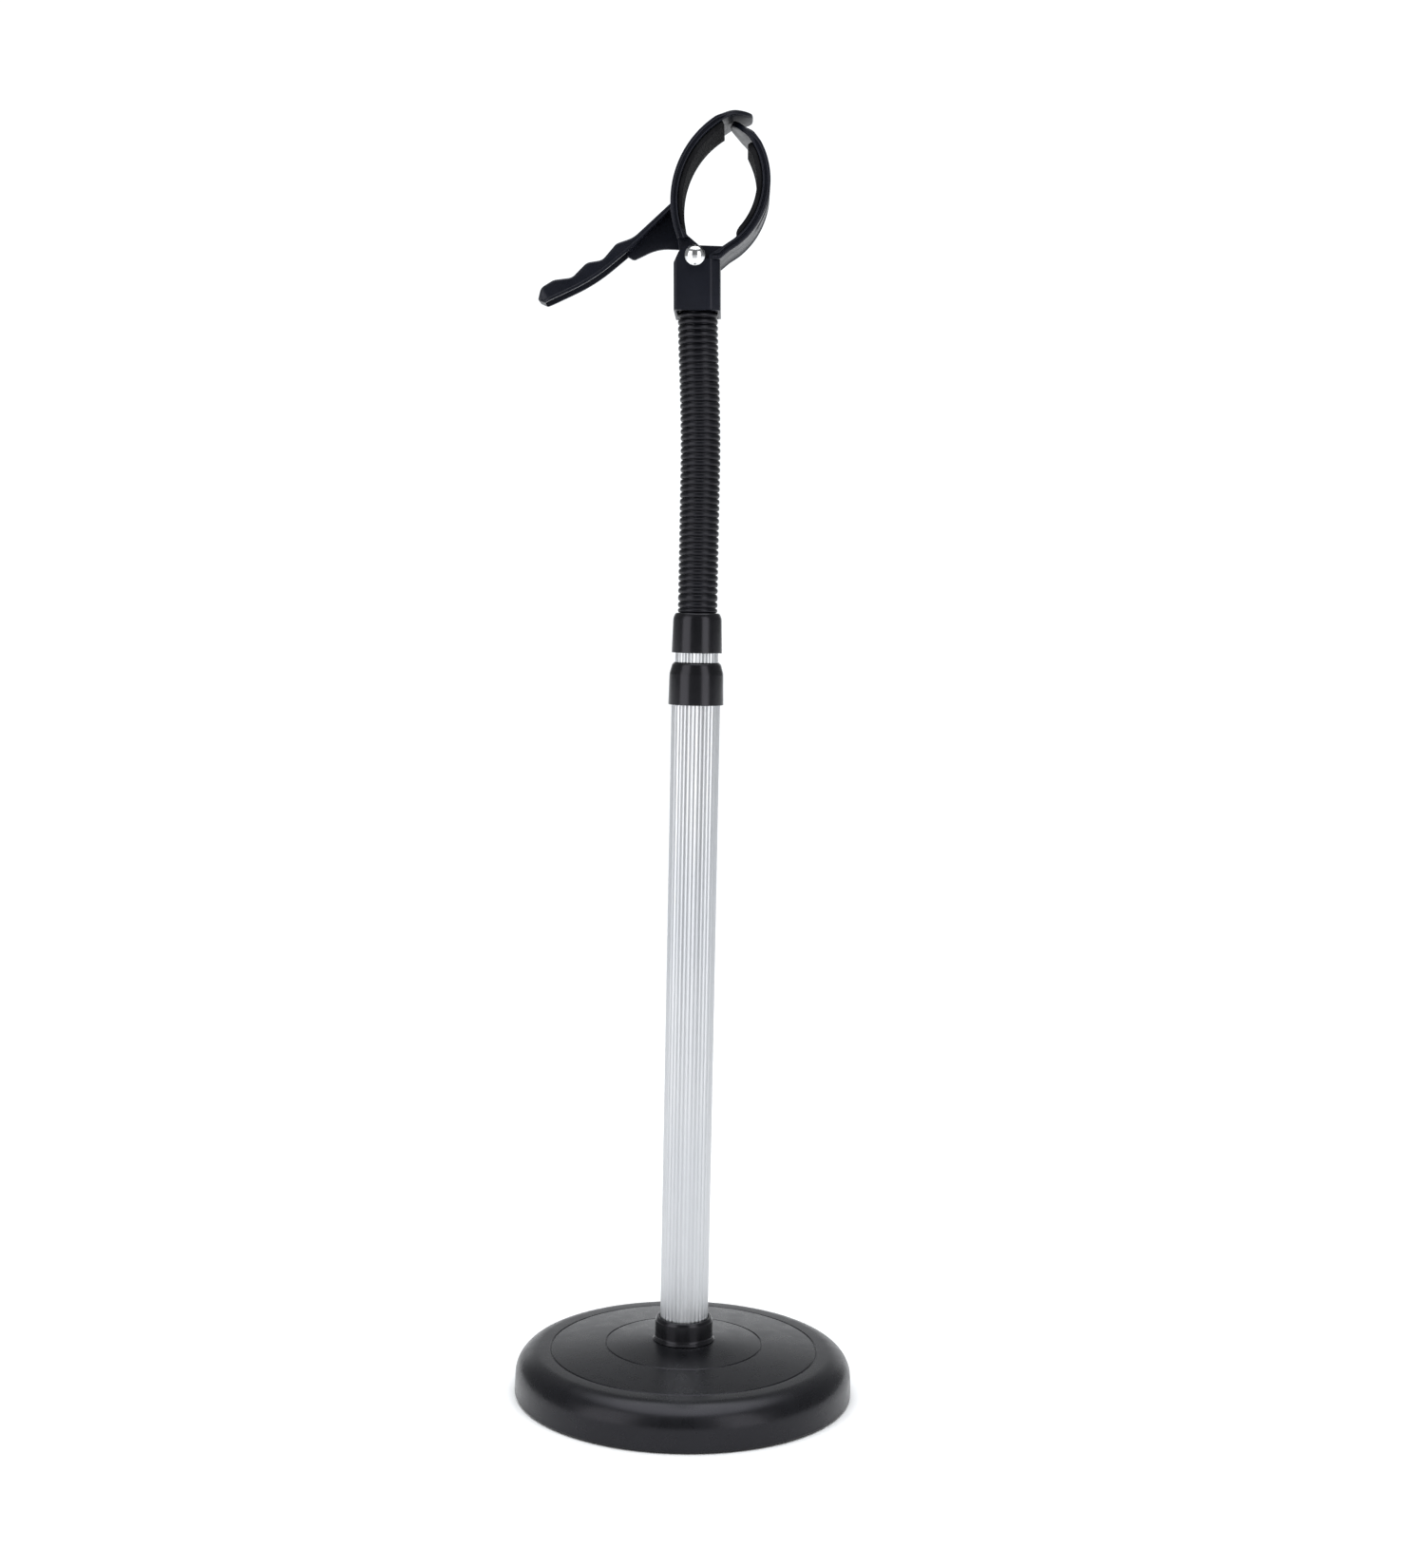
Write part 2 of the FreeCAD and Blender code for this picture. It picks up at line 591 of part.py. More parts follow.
# ---------------------------------------------------------------- clamp, fixed side
def bracket():
    """Hollow box that sits on the neck, with two cheeks that carry the rivet."""
    cheek_outline = [
        (BRACKET_LEFT, BRACKET_BOTTOM),
        (BRACKET_RIGHT, BRACKET_BOTTOM),
        (BRACKET_RIGHT - 0.6, BRACKET_TOP, 1.0),
        (4.4, BRACKET_TOP, 1.0),
        (3.0, 4.8, 2.4),
        (-4.2, 4.8, 2.4),
        (-8.0, 1.8, 2.0),
        (BRACKET_LEFT, -3.6, 3.0),
    ]
    inside = JAW_HALF_WIDTH - CHEEK
    cheeks = pair_of_slabs(cheek_outline, inside, JAW_HALF_WIDTH)
    post_outline = [
        (BRACKET_RIGHT - 1.0 - BRACKET_POST, BRACKET_BOTTOM),
        (BRACKET_RIGHT - 1.0, BRACKET_BOTTOM),
        (BRACKET_RIGHT - 1.0, BRACKET_TOP - 1.5),
        (BRACKET_RIGHT - 1.0 - BRACKET_POST, BRACKET_TOP - 1.5),
    ]
    posts = pair_of_slabs(post_outline, inside - BRACKET_POST, inside + 0.4)
    left = slab([
        (BRACKET_LEFT, BRACKET_BOTTOM),
        (BRACKET_LEFT + BRACKET_WALL, BRACKET_BOTTOM),
        (BRACKET_LEFT + BRACKET_WALL, -9.0),
        (BRACKET_LEFT, -9.0),
    ], -inside - 0.2, inside + 0.2)
    right = slab([
        (BRACKET_RIGHT - BRACKET_WALL, BRACKET_BOTTOM),
        (BRACKET_RIGHT, BRACKET_BOTTOM),
        (BRACKET_RIGHT - 0.6, BRACKET_TOP - 1.0),
        (BRACKET_RIGHT - 0.6 - BRACKET_WALL, BRACKET_TOP - 1.0),
    ], -inside - 0.2, inside + 0.2)
    body = lean(joined(cheeks + posts + [left, right]), HEAD_LEAN_DEG, PIVOT_X, PIVOT_Z)
    x, z = bend_points()[-1]
    floor_low = z + HEAD_FLOOR - PIVOT_Z
    floor = slab([
        (BRACKET_LEFT + 1.0, floor_low),
        (BRACKET_RIGHT - 0.2, floor_low),
        (BRACKET_RIGHT - 0.4, floor_low + HEAD_FLOOR_THICKNESS),
        (BRACKET_LEFT + 0.9, floor_low + HEAD_FLOOR_THICKNESS),
    ], -inside - 0.2, inside + 0.2)
    floor = lean(floor, HEAD_LEAN_DEG, x, z)
    neck_socket = head_place(Part.makeCylinder(RING_RADIUS + 0.1, HEAD_FLOOR + 10.0, Vector(0, 0, -10.0)))
    stud_hole = head_place(Part.makeCylinder(STUD_RADIUS + 0.2, 12.0, Vector(0, 0, HEAD_FLOOR - 4.0)))
    rivet_hole = cross_pin(RIVET_RADIUS + 0.02, -30, 30)
    body = joined([body, floor])
    body = chamfer_bracket_edges(body)
    return body.cut([stud_hole, rivet_hole, neck_socket])


def chamfer_bracket_edges(body):
    """Bevel the upright edges of the bracket's right side, front and back."""
    along, across = BRACKET_BEVEL
    beyond = 2.0
    low = JAW_HALF_WIDTH - across * (along + beyond) / along
    start_x = PIVOT_X + BRACKET_RIGHT - along
    end_x = PIVOT_X + BRACKET_RIGHT + beyond
    wedges = []
    for side in (-1, 1):
        points = [
            Vector(start_x, side * (JAW_HALF_WIDTH + 0.01), 0),
            Vector(end_x, side * low, 0),
            Vector(end_x, side * (JAW_HALF_WIDTH + 1), 0),
            Vector(start_x, side * (JAW_HALF_WIDTH + 1), 0),
        ]
        face = Part.Face(Part.makePolygon(points + points[:1]))
        wedge = face.extrude(Vector(0, 0, 40))
        wedge.translate(Vector(0, 0, PIVOT_Z - 38))
        wedges.append(lean(wedge, HEAD_LEAN_DEG, PIVOT_X, PIVOT_Z))
    return body.cut(wedges)


def edge_grooves(centre, outer_radius, start_deg, end_deg):
    """Tools that cut the moulded line in a jaw's front and back edges."""
    outer = outer_radius - 1.35
    inner = outer - EDGE_GROOVE_WIDTH
    deep = JAW_HALF_WIDTH - EDGE_GROOVE_DEPTH
    return [arc_band(centre, outer, inner, start_deg, end_deg, deep, JAW_HALF_WIDTH + 1),
            arc_band(centre, outer, inner, start_deg, end_deg, -JAW_HALF_WIDTH - 1, -deep)]


def rounded_in_plan(shape, x_end, x_far, z_from):
    """Round the free end of a jaw at x_end, as seen from above."""
    wide = JAW_HALF_WIDTH
    plan = outline([
        (PIVOT_X + x_end, -wide, TONGUE_ROUND),
        (PIVOT_X + x_end, wide, TONGUE_ROUND),
        (PIVOT_X + x_far, wide),
        (PIVOT_X + x_far, -wide),
    ], lambda x, y: Vector(x, y, PIVOT_Z + z_from))
    return shape.common(plan.extrude(Vector(0, 0, 60)))


def fixed_tongue():
    """Upper end of the fixed jaw: it gets thinner, so that it tucks in under the bill."""
    centre = FIXED_ARC_CENTRE
    outer = FIXED_ARC_RADIUS
    inner = outer - FIXED_BAND
    wide = JAW_HALF_WIDTH
    thin_outer = outer - 1.5
    thin_inner = inner - 0.6
    root = arc_band(centre, outer, inner, 10.0, 40.0, -wide, wide)
    step = slab([
        on_arc(centre, outer, 38.0),
        on_arc(centre, outer, 40.0),
        on_arc(centre, thin_outer, 47.0),
        on_arc(centre, thin_inner + 0.4, 47.0),
        on_arc(centre, thin_inner + 0.4, 38.0),
    ], -wide, wide)
    tip = arc_band(centre, thin_outer, thin_inner, FIXED_TONGUE_DEG, FIXED_TIP_DEG, -wide, wide)
    end_x = on_arc(centre, thin_inner, FIXED_TIP_DEG)[0]
    return rounded_in_plan(joined([root, step, tip]), end_x, 50.0, 30.0)


def fixed_jaw():
    """Right jaw: a curved plate with ears that go down between the cheeks."""
    outer = FIXED_ARC_RADIUS
    inner = outer - FIXED_BAND
    wide = JAW_HALF_WIDTH
    band = arc_band(FIXED_ARC_CENTRE, outer, inner, FIXED_ROOT_DEG, 12.0, -wide, wide)
    root_out = on_arc(FIXED_ARC_CENTRE, outer, FIXED_ROOT_DEG)
    root_in = on_arc(FIXED_ARC_CENTRE, inner, FIXED_ROOT_DEG)
    root_low = on_arc(FIXED_ARC_CENTRE, outer, -63.0)
    foot_end = on_arc(FIXED_ARC_CENTRE, outer, FIXED_FOOT_DEG)
    foot_heel = (12.2, BRACKET_TOP + 0.3)
    foot = slab([root_in, (7.0, 0.2), foot_end, foot_heel, root_low, root_out], -wide, wide)
    ear_outline = [
        (0.0, 5.2, 1.5),
        (15.6, 4.9),
        root_in,
        (14.0, 2.2),
        (9.0, -0.4),
        (6.0, -6.0, 2.0),
        (-5.5, -6.0, 4.0),
        (-5.5, 4.0, 4.0),
    ]
    ears = pair_of_slabs(ear_outline, 14.4, 17.5)
    rib = arc_band(FIXED_ARC_CENTRE, outer + 0.4, outer - 1.0, -34.0, 30.0, -6.0, 6.0)
    body = joined([band, fixed_tongue(), foot, rib] + ears)
    grooves = edge_grooves(FIXED_ARC_CENTRE, outer, -50.0, 34.0)
    return body.cut(grooves + [cross_pin(RIVET_RADIUS + 0.02, -30, 30)])


def fixed_pad():
    outer = FIXED_ARC_RADIUS - FIXED_BAND
    inner = outer - FIXED_PAD
    return arc_band(FIXED_ARC_CENTRE, outer, inner, -48.0, 34.0, -PAD_HALF_WIDTH, PAD_HALF_WIDTH)


def rivet():
    """Steel rivet with a domed head on each side."""
    length = 2 * JAW_HALF_WIDTH
    shank = cross_pin(RIVET_RADIUS, -length / 2, length / 2)
    sphere_radius = (RIVET_HEAD_RADIUS ** 2 + RIVET_HEAD_HEIGHT ** 2) / (2 * RIVET_HEAD_HEIGHT)
    heads = []
    for side in (-1, 1):
        middle_y = side * (length / 2 + RIVET_HEAD_HEIGHT - sphere_radius)
        dome = Part.makeSphere(sphere_radius, Vector(PIVOT_X, middle_y, PIVOT_Z))
        low, high = sorted((side * length / 2, side * (length / 2 + 5)))
        heads.append(dome.common(cross_pin(RIVET_HEAD_RADIUS, low, high)))
    return joined([shank] + heads)


def pivot_spacer():
    """Sleeve on the rivet that keeps the lever's ears apart, inside the spring."""
    return cross_pin(3.6, -10.2, 10.2).cut(cross_pin(RIVET_RADIUS + 0.02, -11, 11))


def torsion_spring():
    """Coil round the pivot with the leg that rests on the bracket's floor."""
    height = SPRING_TURNS * SPRING_PITCH
    helix = Part.makeHelix(SPRING_PITCH, height, SPRING_MEAN_RADIUS)
    section = Part.Wire(Part.makeCircle(SPRING_WIRE, Vector(SPRING_MEAN_RADIUS, 0, 0), Vector(0, 1, 0)))
    coil = Part.Wire(helix).makePipeShell([section], True, True)
    coil.rotate(Vector(0, 0, 0), Vector(1, 0, 0), -90)
    coil.translate(Vector(PIVOT_X, -height / 2, PIVOT_Z))
    leg_start = Vector(PIVOT_X + SPRING_MEAN_RADIUS, -height / 2, PIVOT_Z + 0.4)
    leg = Part.makeCylinder(SPRING_WIRE, 8.6, leg_start, Vector(0, 0, -1))
    return coil.fuse(leg)


# ---------------------------------------------------------------- clamp, moving side
def grip_outline():
    """Side view of the squeeze handle: three finger rests above, a smooth line below."""
    return [
        (-9.0, 30.6),
        (-31.0, 9.9, 14.0),
        (-39.6, 6.8, 5.0),
        (-46.4, -1.4, 5.5),
        (-54.2, -2.8, 5.5),
        (-61.4, -10.3, 5.5),
        (-70.6, -11.6, 5.0),
        (-76.6, -15.6, 3.0),
        (-78.4, -21.2, 1.8),
        (-74.4, -23.0, 1.6),
        (-50.6, -11.4, 90.0),
        (-32.0, 4.4, 60.0),
        (-9.6, 27.0),
    ]


def grip_hollow():
    """The open channel under the handle, as a tool that cuts it."""
    return slab([
        (-34.8, 5.2, 3.0),
        (-39.4, 4.2, 3.0),
        (-46.6, -4.0, 4.0),
        (-54.6, -5.4, 4.0),
        (-61.6, -12.8, 4.0),
        (-70.4, -14.0, 3.0),
        (-74.4, -16.8, 2.0),
        (-75.6, -20.6, 1.0),
        (-73.4, -28.0),
        (-33.0, -9.0),
    ], -HANDLE_HALF_WIDTH + HANDLE_WALL, HANDLE_HALF_WIDTH - HANDLE_WALL)


def bill():
    """Rounded tongue at the top of the lever jaw that reaches over the fixed jaw."""
    start_out = on_arc(LEVER_ARC_CENTRE, LEVER_ARC_RADIUS, 124.0)
    start_in = on_arc(LEVER_ARC_CENTRE, LEVER_ARC_RADIUS - LEVER_BAND, 124.0)
    end_x = 27.2
    tongue = slab([
        start_out,
        (17.0, 70.8, 16.0),
        (end_x, 71.1, 0.8),
        (end_x, 68.9, 1.0),
        (17.6, 68.8, 9.0),
        start_in,
    ], -JAW_HALF_WIDTH, JAW_HALF_WIDTH)
    return rounded_in_plan(tongue, end_x, -5.0, 55.0)


def lever_jaw():
    """Left jaw, its ears round the rivet and the squeeze handle, moulded in one."""
    outer = LEVER_ARC_RADIUS
    inner = outer - LEVER_BAND
    wide = JAW_HALF_WIDTH
    centre = LEVER_ARC_CENTRE
    band = arc_band(centre, outer, inner, 198.0, 123.9, -wide, wide)
    rim_out = on_arc(centre, outer, 202.4)
    foot = slab([
        on_arc(centre, inner, 197.0),
        (-3.0, 8.6, 0.6),
        (rim_out[0] + 0.3, 8.4),
        rim_out,
        on_arc(centre, outer, 197.5),
        on_arc(centre, outer - 1.0, 197.0),
    ], -wide, wide)
    ear_outline = [
        (-9.0, 10.5),
        (-4.0, 10.5),
        (2.2, 5.4, 2.0),
        (5.9, 2.0, 2.0),
        (5.9, -4.4, 3.5),
        (0.0, -6.4, 5.0),
        (-5.9, -4.4, 3.5),
        (-8.2, 4.0, 3.0),
    ]
    ears = pair_of_slabs(ear_outline, 10.6, 14.0)
    grip = slab(grip_outline(), -HANDLE_HALF_WIDTH, HANDLE_HALF_WIDTH)
    web = slab([
        (-8.6, 28.0),
        (-33.6, 6.0),
        (-35.2, 2.0, 2.0),
        (-31.0, -0.4, 2.5),
        (-19.0, 5.6, 22.0),
        (-8.4, 5.4),
        (-7.2, 12.0),
    ], -1.5, 1.5)
    handle = joined([grip, web]).cut([grip_hollow(), lever_bore()])
    body = joined([band, foot, bill(), handle] + ears)
    grooves = edge_grooves(centre, outer, 196.0, 126.0)
    return body.cut(grooves + [cross_pin(RIVET_RADIUS + PIVOT_CLEARANCE, -30, 30)])


def lever_bore():
    """Everything inside the lever jaw's inner face, where no handle may reach."""
    inner = LEVER_ARC_RADIUS - LEVER_BAND / 2
    x, z = LEVER_ARC_CENTRE
    start = Vector(PIVOT_X + x, -30, PIVOT_Z + z)
    return Part.makeCylinder(inner, 60, start, Vector(0, 1, 0))


def lever_pad():
    """Rubber lining of the lever jaw; its top end reaches under the bill."""
    outer = LEVER_ARC_RADIUS - LEVER_BAND
    pad = arc_band(LEVER_ARC_CENTRE, outer, outer - LEVER_PAD, 195.5, 122.0,
                   -PAD_HALF_WIDTH, PAD_HALF_WIDTH)
    return pad.cut(bill())


def spring_lever_leg():
    """Leg of the torsion spring that pushes up the lever's web."""
    beside_coil = SPRING_TURNS * SPRING_PITCH / 2 + SPRING_LEG_OFFSET
    start = Vector(PIVOT_X - 0.4, beside_coil, PIVOT_Z + SPRING_MEAN_RADIUS)
    return Part.makeCylinder(SPRING_WIRE, SPRING_LEG, start, Vector(-0.86, 0, 0.5))


# ---------------------------------------------------------------- build
def build_all():
    pieces = {
        "base_shell": base_shell(),
        "base_weight": base_weight(),
        "bottom_plate": bottom_plate(),
        "bottom_plate_screws": bottom_plate_screws(),
        "foot_ring": foot_ring(),
        "centre_bolt": centre_bolt(),
        "centre_washer": centre_washer(),
        "pole_foot_plug": pole_foot_plug(),
        "base_collar": base_collar(),
        "lower_pole": lower_pole(),
        "lower_ferrule": lower_ferrule(),
        "lock_expander": lock_expander(),
        "lock_cone": lock_cone(),
        "lock_plug": lock_plug(),
        "lock_stud": lock_stud(),
        "upper_pole": upper_pole(),
        "upper_ferrule": upper_ferrule(),
        "gooseneck_lower_fitting": gooseneck_lower_fitting(),
        "gooseneck_core_00": gooseneck_core_00(),
        "gooseneck_cover_00": gooseneck_cover_00(),
        "gooseneck_core_12": gooseneck_core_12(),
        "gooseneck_cover_12": gooseneck_cover_12(),
        "neck_nut": neck_nut(),
        "bracket": bracket(),
        "fixed_jaw": fixed_jaw(),
        "fixed_pad": fixed_pad(),
        "rivet": rivet(),
        "pivot_spacer": pivot_spacer(),
        "torsion_spring": torsion_spring(),
        "lever_jaw": lever_jaw(),
        "lever_pad": lever_pad(),
        "spring_lever_leg": spring_lever_leg(),
    }
    pieces.update(gooseneck_links())
    return pieces


os.makedirs(OUT, exist_ok=True)
for piece_name, piece in build_all().items():
    save(piece, piece_name)
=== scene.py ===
"""Looks of the hands-free hair-dryer stand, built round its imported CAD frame.

Outlines are written in millimetres and turned into metres when a mesh is made.
The clamp's outlines are measured from its pivot, in its XZ plane.
"""
import json
import math

import bpy
import bmesh
import numpy as np
from mathutils import Matrix, Vector


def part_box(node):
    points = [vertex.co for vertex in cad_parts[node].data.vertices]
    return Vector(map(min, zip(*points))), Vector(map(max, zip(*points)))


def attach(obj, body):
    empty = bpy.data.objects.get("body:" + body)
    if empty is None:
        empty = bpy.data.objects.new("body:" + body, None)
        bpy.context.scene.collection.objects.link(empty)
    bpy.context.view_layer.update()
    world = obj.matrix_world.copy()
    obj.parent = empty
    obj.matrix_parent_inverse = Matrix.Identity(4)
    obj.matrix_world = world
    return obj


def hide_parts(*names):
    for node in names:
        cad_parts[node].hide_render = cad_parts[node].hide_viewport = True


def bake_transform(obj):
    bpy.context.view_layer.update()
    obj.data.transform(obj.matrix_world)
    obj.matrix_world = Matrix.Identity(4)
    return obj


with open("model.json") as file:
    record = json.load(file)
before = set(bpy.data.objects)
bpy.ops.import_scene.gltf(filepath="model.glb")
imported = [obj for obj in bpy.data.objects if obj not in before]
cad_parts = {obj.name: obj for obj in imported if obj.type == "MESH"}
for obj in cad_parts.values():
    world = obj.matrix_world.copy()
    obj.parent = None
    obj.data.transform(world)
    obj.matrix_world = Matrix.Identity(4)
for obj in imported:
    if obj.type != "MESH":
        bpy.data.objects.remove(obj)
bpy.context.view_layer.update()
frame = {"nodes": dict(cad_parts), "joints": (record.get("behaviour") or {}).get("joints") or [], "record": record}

MM = 0.001

# ---------------------------------------------------------------- driving sizes, in millimetres
ROUND_STEPS = 160            # segments round a turned piece
BASE_EDGE_TOP = 22.4         # height of the shoulder's corner before it is rounded
BASE_CENTRE_TOP = 28.0       # height of the top at the collar
BASE_EDGE_ROUND = 12.5
BASE_GROOVE_RADII = (69.2, 40.6)
BASE_GROOVE_WIDTH = 1.1
BASE_GROOVE_DEPTH = 0.55
COLLAR_FOOT_RADIUS = 16.6
COLLAR_BORE = 12.6
COLLAR_HEIGHT = 12.0         # above the shell's top
FOOT_RING_WIDTH = 7.0
LOWER_POLE_BORE = 11.3
UPPER_POLE_BORE = 9.8
POLE_RIBS = 30
POLE_RIB_DEPTH = 0.35
RIB_STEPS = 10

RING_PITCH = 3.2
RING_RADIUS = 10.1
VALLEY_RADIUS = 9.05         # of the sleeve's grooves, between its rings
RING_HALF_WIDTH = 1.48
RINGS_PER_LINK = 4
SLEEVE_STEPS = 72            # segments round the sleeve

JAW_HALF_WIDTH = 20.0
PAD_HALF_WIDTH = 18.5
LEVER_ARC_CENTRE = (36.2, 26.9)
LEVER_ARC_RADIUS = 48.5
LEVER_FOOT_DEG = 202.4
LEVER_ROOT_DEG = 197.0
LEVER_BILL_DEG = 124.0       # where the arc passes into the straight bill
LEVER_BAND = 3.2             # thickness of the jaw
LEVER_PAD = 2.4              # thickness of its lining
LEVER_PAD_START_DEG = 195.5
LEVER_PAD_END_DEG = 122.0
LEVER_TIP_X = 27.2
FIXED_ARC_CENTRE = (-3.2, 36.4)
FIXED_ARC_RADIUS = 39.3
FIXED_BAND = 3.6
FIXED_PAD = 2.7
FIXED_FOOT_DEG = -75.0
FIXED_ROOT_DEG = -52.0       # where the tapered foot passes into the arc
FIXED_TONGUE_DEG = 31.0      # from here up its stations lie closer, down to nothing at the tip
FIXED_TIP_DEG = 57.0
FIXED_THIN_FROM_DEG = 37.0   # from here up the jaw thins to a tongue
FIXED_GROOVE_END_DEG = 36.0
FIXED_RIB_DEG = (-34.0, 30.0)
TONGUE_ROUND = 18.0          # rounding of both jaws' free ends, as seen along their thickness
FIXED_PAD_START_DEG = -48.0
FIXED_PAD_END_DEG = 34.0
GROOVE_FROM_OUTSIDE = 1.35   # from a jaw's outer face to the groove along its edge
GROOVE_WIDTH = 0.9
GROOVE_DEPTH = 0.9
EDGE_BEAD_DEPTH = 0.8
RIB_HALF_WIDTH = 6.0         # raised band along the fixed jaw's outer face
RIB_HEIGHT = 0.4
RIM_HEIGHT = 0.4             # bead along both edges of a jaw's outer face
RIM_WIDTH = 1.5

BRACKET_LEFT = -10.6
BRACKET_RIGHT = 12.4
BRACKET_BOTTOM = -26.6
BRACKET_TOP = -1.7
BRACKET_BEVEL = (4.6, 3.4)
BRACKET_POST = 3.2           # side of the two square posts inside its right corners
BRACKET_WALL = 1.3           # its right wall, between the posts
HEAD_LEAN_DEG = 1.2
CHEEK = 2.2                  # thickness of the cheeks that hold the rivet
LEVER_EAR_Y = (10.6, 14.0)   # distances of an ear's two faces from the middle
FIXED_EAR_Y = (14.4, 17.5)
WEB_HALF_WIDTH = 1.5
PLATE_EDGE_ROUND = 0.4

HANDLE_HALF_WIDTH = 9.5
HANDLE_WALL = 1.8
HANDLE_LIP = 0.45            # how far the rim's bead stands out past the wall
HANDLE_TIP_ROUND = 5.5
HANDLE_SLOPE_DEG = 36.87
RIVET_HEAD_RADIUS = 5.0
RIVET_HEAD_HEIGHT = 2.8
RIVET_SHANK_RADIUS = 2.5

# ---------------------------------------------------------------- camera, in metres; lens in millimetres
CAMERA_AZIMUTH_DEG = 1.2
CAMERA_DISTANCE = 1.1134
CAMERA_HEIGHT = 0.4105
CAMERA_PAN_DEG = -0.72
CAMERA_PITCH_DEG = 4.72
CAMERA_ROLL_DEG = 1.14
CAMERA_LENS = 50.16

# ---------------------------------------------------------------- light, 1 is white
COOL_SHEEN = (0.92, 0.90, 1.0, 1)   # tint of the black plastics' reflections
FRONT_LEVEL = 0.16           # surroundings behind the camera
SIDE_LEVEL = 0.28            # surroundings to the sides and beyond the stand
WHITE_LEVEL = 0.85           # added low down beyond the stand
OVERHEAD_LEVEL = 3.2
LAMP_LEFT_LEVEL = 2.0
LAMP_RIGHT_LEVEL = 2.2
LAMP_HEIGHT = 0.75           # metres, as the next four
LAMP_DISTANCE = 1.35
LAMP_LEFT_SIZE = (0.95, 1.5)
LAMP_RIGHT_SIZE = (0.75, 1.5)
FLOOR_REACH = 25.0
FLOOR_PAINTED_SHADE = (0.50, 0.50, 0.50)      # painted shade: the floor's colour near and behind the camera, darkened to keep the base's side dark
FLOOR_PALE = (0.97, 0.97, 0.97)     # under and beyond the stand
FLOOR_FADE_Y = (-1.6, -0.35)        # metres, where one passes into the other


def find_joint(name):
    """One joint of the record by its name."""
    return next(j for j in frame["joints"] if j["name"] == name)


PIVOT = [v / MM for v in find_joint("jaw_open")["pos_m"]]
NECK_JOINTS = [j for j in frame["joints"] if j["name"].startswith("neck_")]


# ---------------------------------------------------------------- outlines
def fillet(corners, closed=True, step_deg=9.0):
    """Points of an outline of corners (a, b) or (a, b, rounding), with arcs at its roundings."""
    points = []
    last = len(corners) - 1
    for i, corner in enumerate(corners):
        radius = corner[2] if len(corner) > 2 else 0.0
        here = np.array(corner[:2], float)
        if radius == 0 or (not closed and i in (0, last)):
            points.append(here)
            continue
        before = np.array(corners[i - 1][:2], float) - here
        after = np.array(corners[(i + 1) % len(corners)][:2], float) - here
        before /= np.linalg.norm(before)
        after /= np.linalg.norm(after)
        half = math.acos(float(np.clip(before @ after, -1, 1))) / 2
        bisector = (before + after) / np.linalg.norm(before + after)
        centre = here + bisector * radius / math.sin(half)
        start = here + before * radius / math.tan(half) - centre
        end = here + after * radius / math.tan(half) - centre
        angle = math.atan2(start[1], start[0])
        turn = (math.atan2(end[1], end[0]) - angle + math.pi) % (2 * math.pi) - math.pi
        steps = max(2, math.ceil(abs(math.degrees(turn)) / step_deg))
        for k in range(steps + 1):
            at = angle + turn * k / steps
            points.append(centre + radius * np.array((math.cos(at), math.sin(at))))
    return points


def inset(points, distance):
    """A closed outline moved inwards by a small distance."""
    p = np.array(points)
    after = np.roll(p, -1, 0) - p
    area = float(np.sum(p[:, 0] * np.roll(p[:, 1], -1) - np.roll(p[:, 0], -1) * p[:, 1]))
    side = 1.0 if area > 0 else -1.0
    normal = np.stack((-after[:, 1], after[:, 0]), 1) * side
    normal /= np.maximum(np.linalg.norm(normal, axis=1, keepdims=True), 1e-9)
    before = np.roll(normal, 1, 0)
    sharpness = np.maximum(1 + np.sum(normal * before, axis=1, keepdims=True), 0.5)
    return p + (normal + before) / sharpness * distance


def on_arc(centre, radius, angle_deg):
    """A point of a circle in the clamp's plane."""
    angle = math.radians(angle_deg)
    return np.array((centre[0] + radius * math.cos(angle), centre[1] + radius * math.sin(angle)))


def value_at(points, x):
    """Second value of a line of points at a first value x."""
    line = sorted((float(p[0]), float(p[1])) for p in points)
    return float(np.interp(x, [p[0] for p in line], [p[1] for p in line]))


# ---------------------------------------------------------------- mesh building
def grid_faces(rows, columns, wrap_rows=False, wrap_columns=True):
    """Four-sided faces between rows of vertices that are numbered row by row."""
    faces = []
    for i in range(rows if wrap_rows else rows - 1):
        below = i * columns
        above = (i + 1) % rows * columns
        for j in range(columns if wrap_columns else columns - 1):
            k = (j + 1) % columns
            faces.append((below + j, below + k, above + k, above + j))
    return faces


def make_object(name, points, faces, sharp_deg=35.0):
    """A mesh object from points in millimetres, with outward faces and smooth shading."""
    mesh = bpy.data.meshes.new(name)
    mesh.from_pydata([tuple(float(v) * MM for v in p) for p in points], [], faces)
    work = bmesh.new()
    work.from_mesh(mesh)
    bmesh.ops.remove_doubles(work, verts=work.verts, dist=1e-7)
    bmesh.ops.dissolve_degenerate(work, edges=work.edges, dist=1e-7)
    bmesh.ops.recalc_face_normals(work, faces=work.faces)
    work.to_mesh(mesh)
    work.free()
    obj = bpy.data.objects.new(name, mesh)
    bpy.context.scene.collection.objects.link(obj)
    shade(obj, sharp_deg)
    return obj


def shade(obj, sharp_deg):
    """Smooth shading that keeps the edges above an angle sharp."""
    obj.data.shade_smooth()
    obj.data.set_sharp_from_angle(angle=math.radians(sharp_deg))


def finish_piece(obj, body, slot, replaced=()):
    """Give a new piece its body, its material and the CAD nodes that it stands for."""
    obj.data.materials.clear()
    obj.data.materials.append(MATERIALS[slot])
    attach(obj, body)
    if replaced:
        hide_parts(*replaced)
    return obj


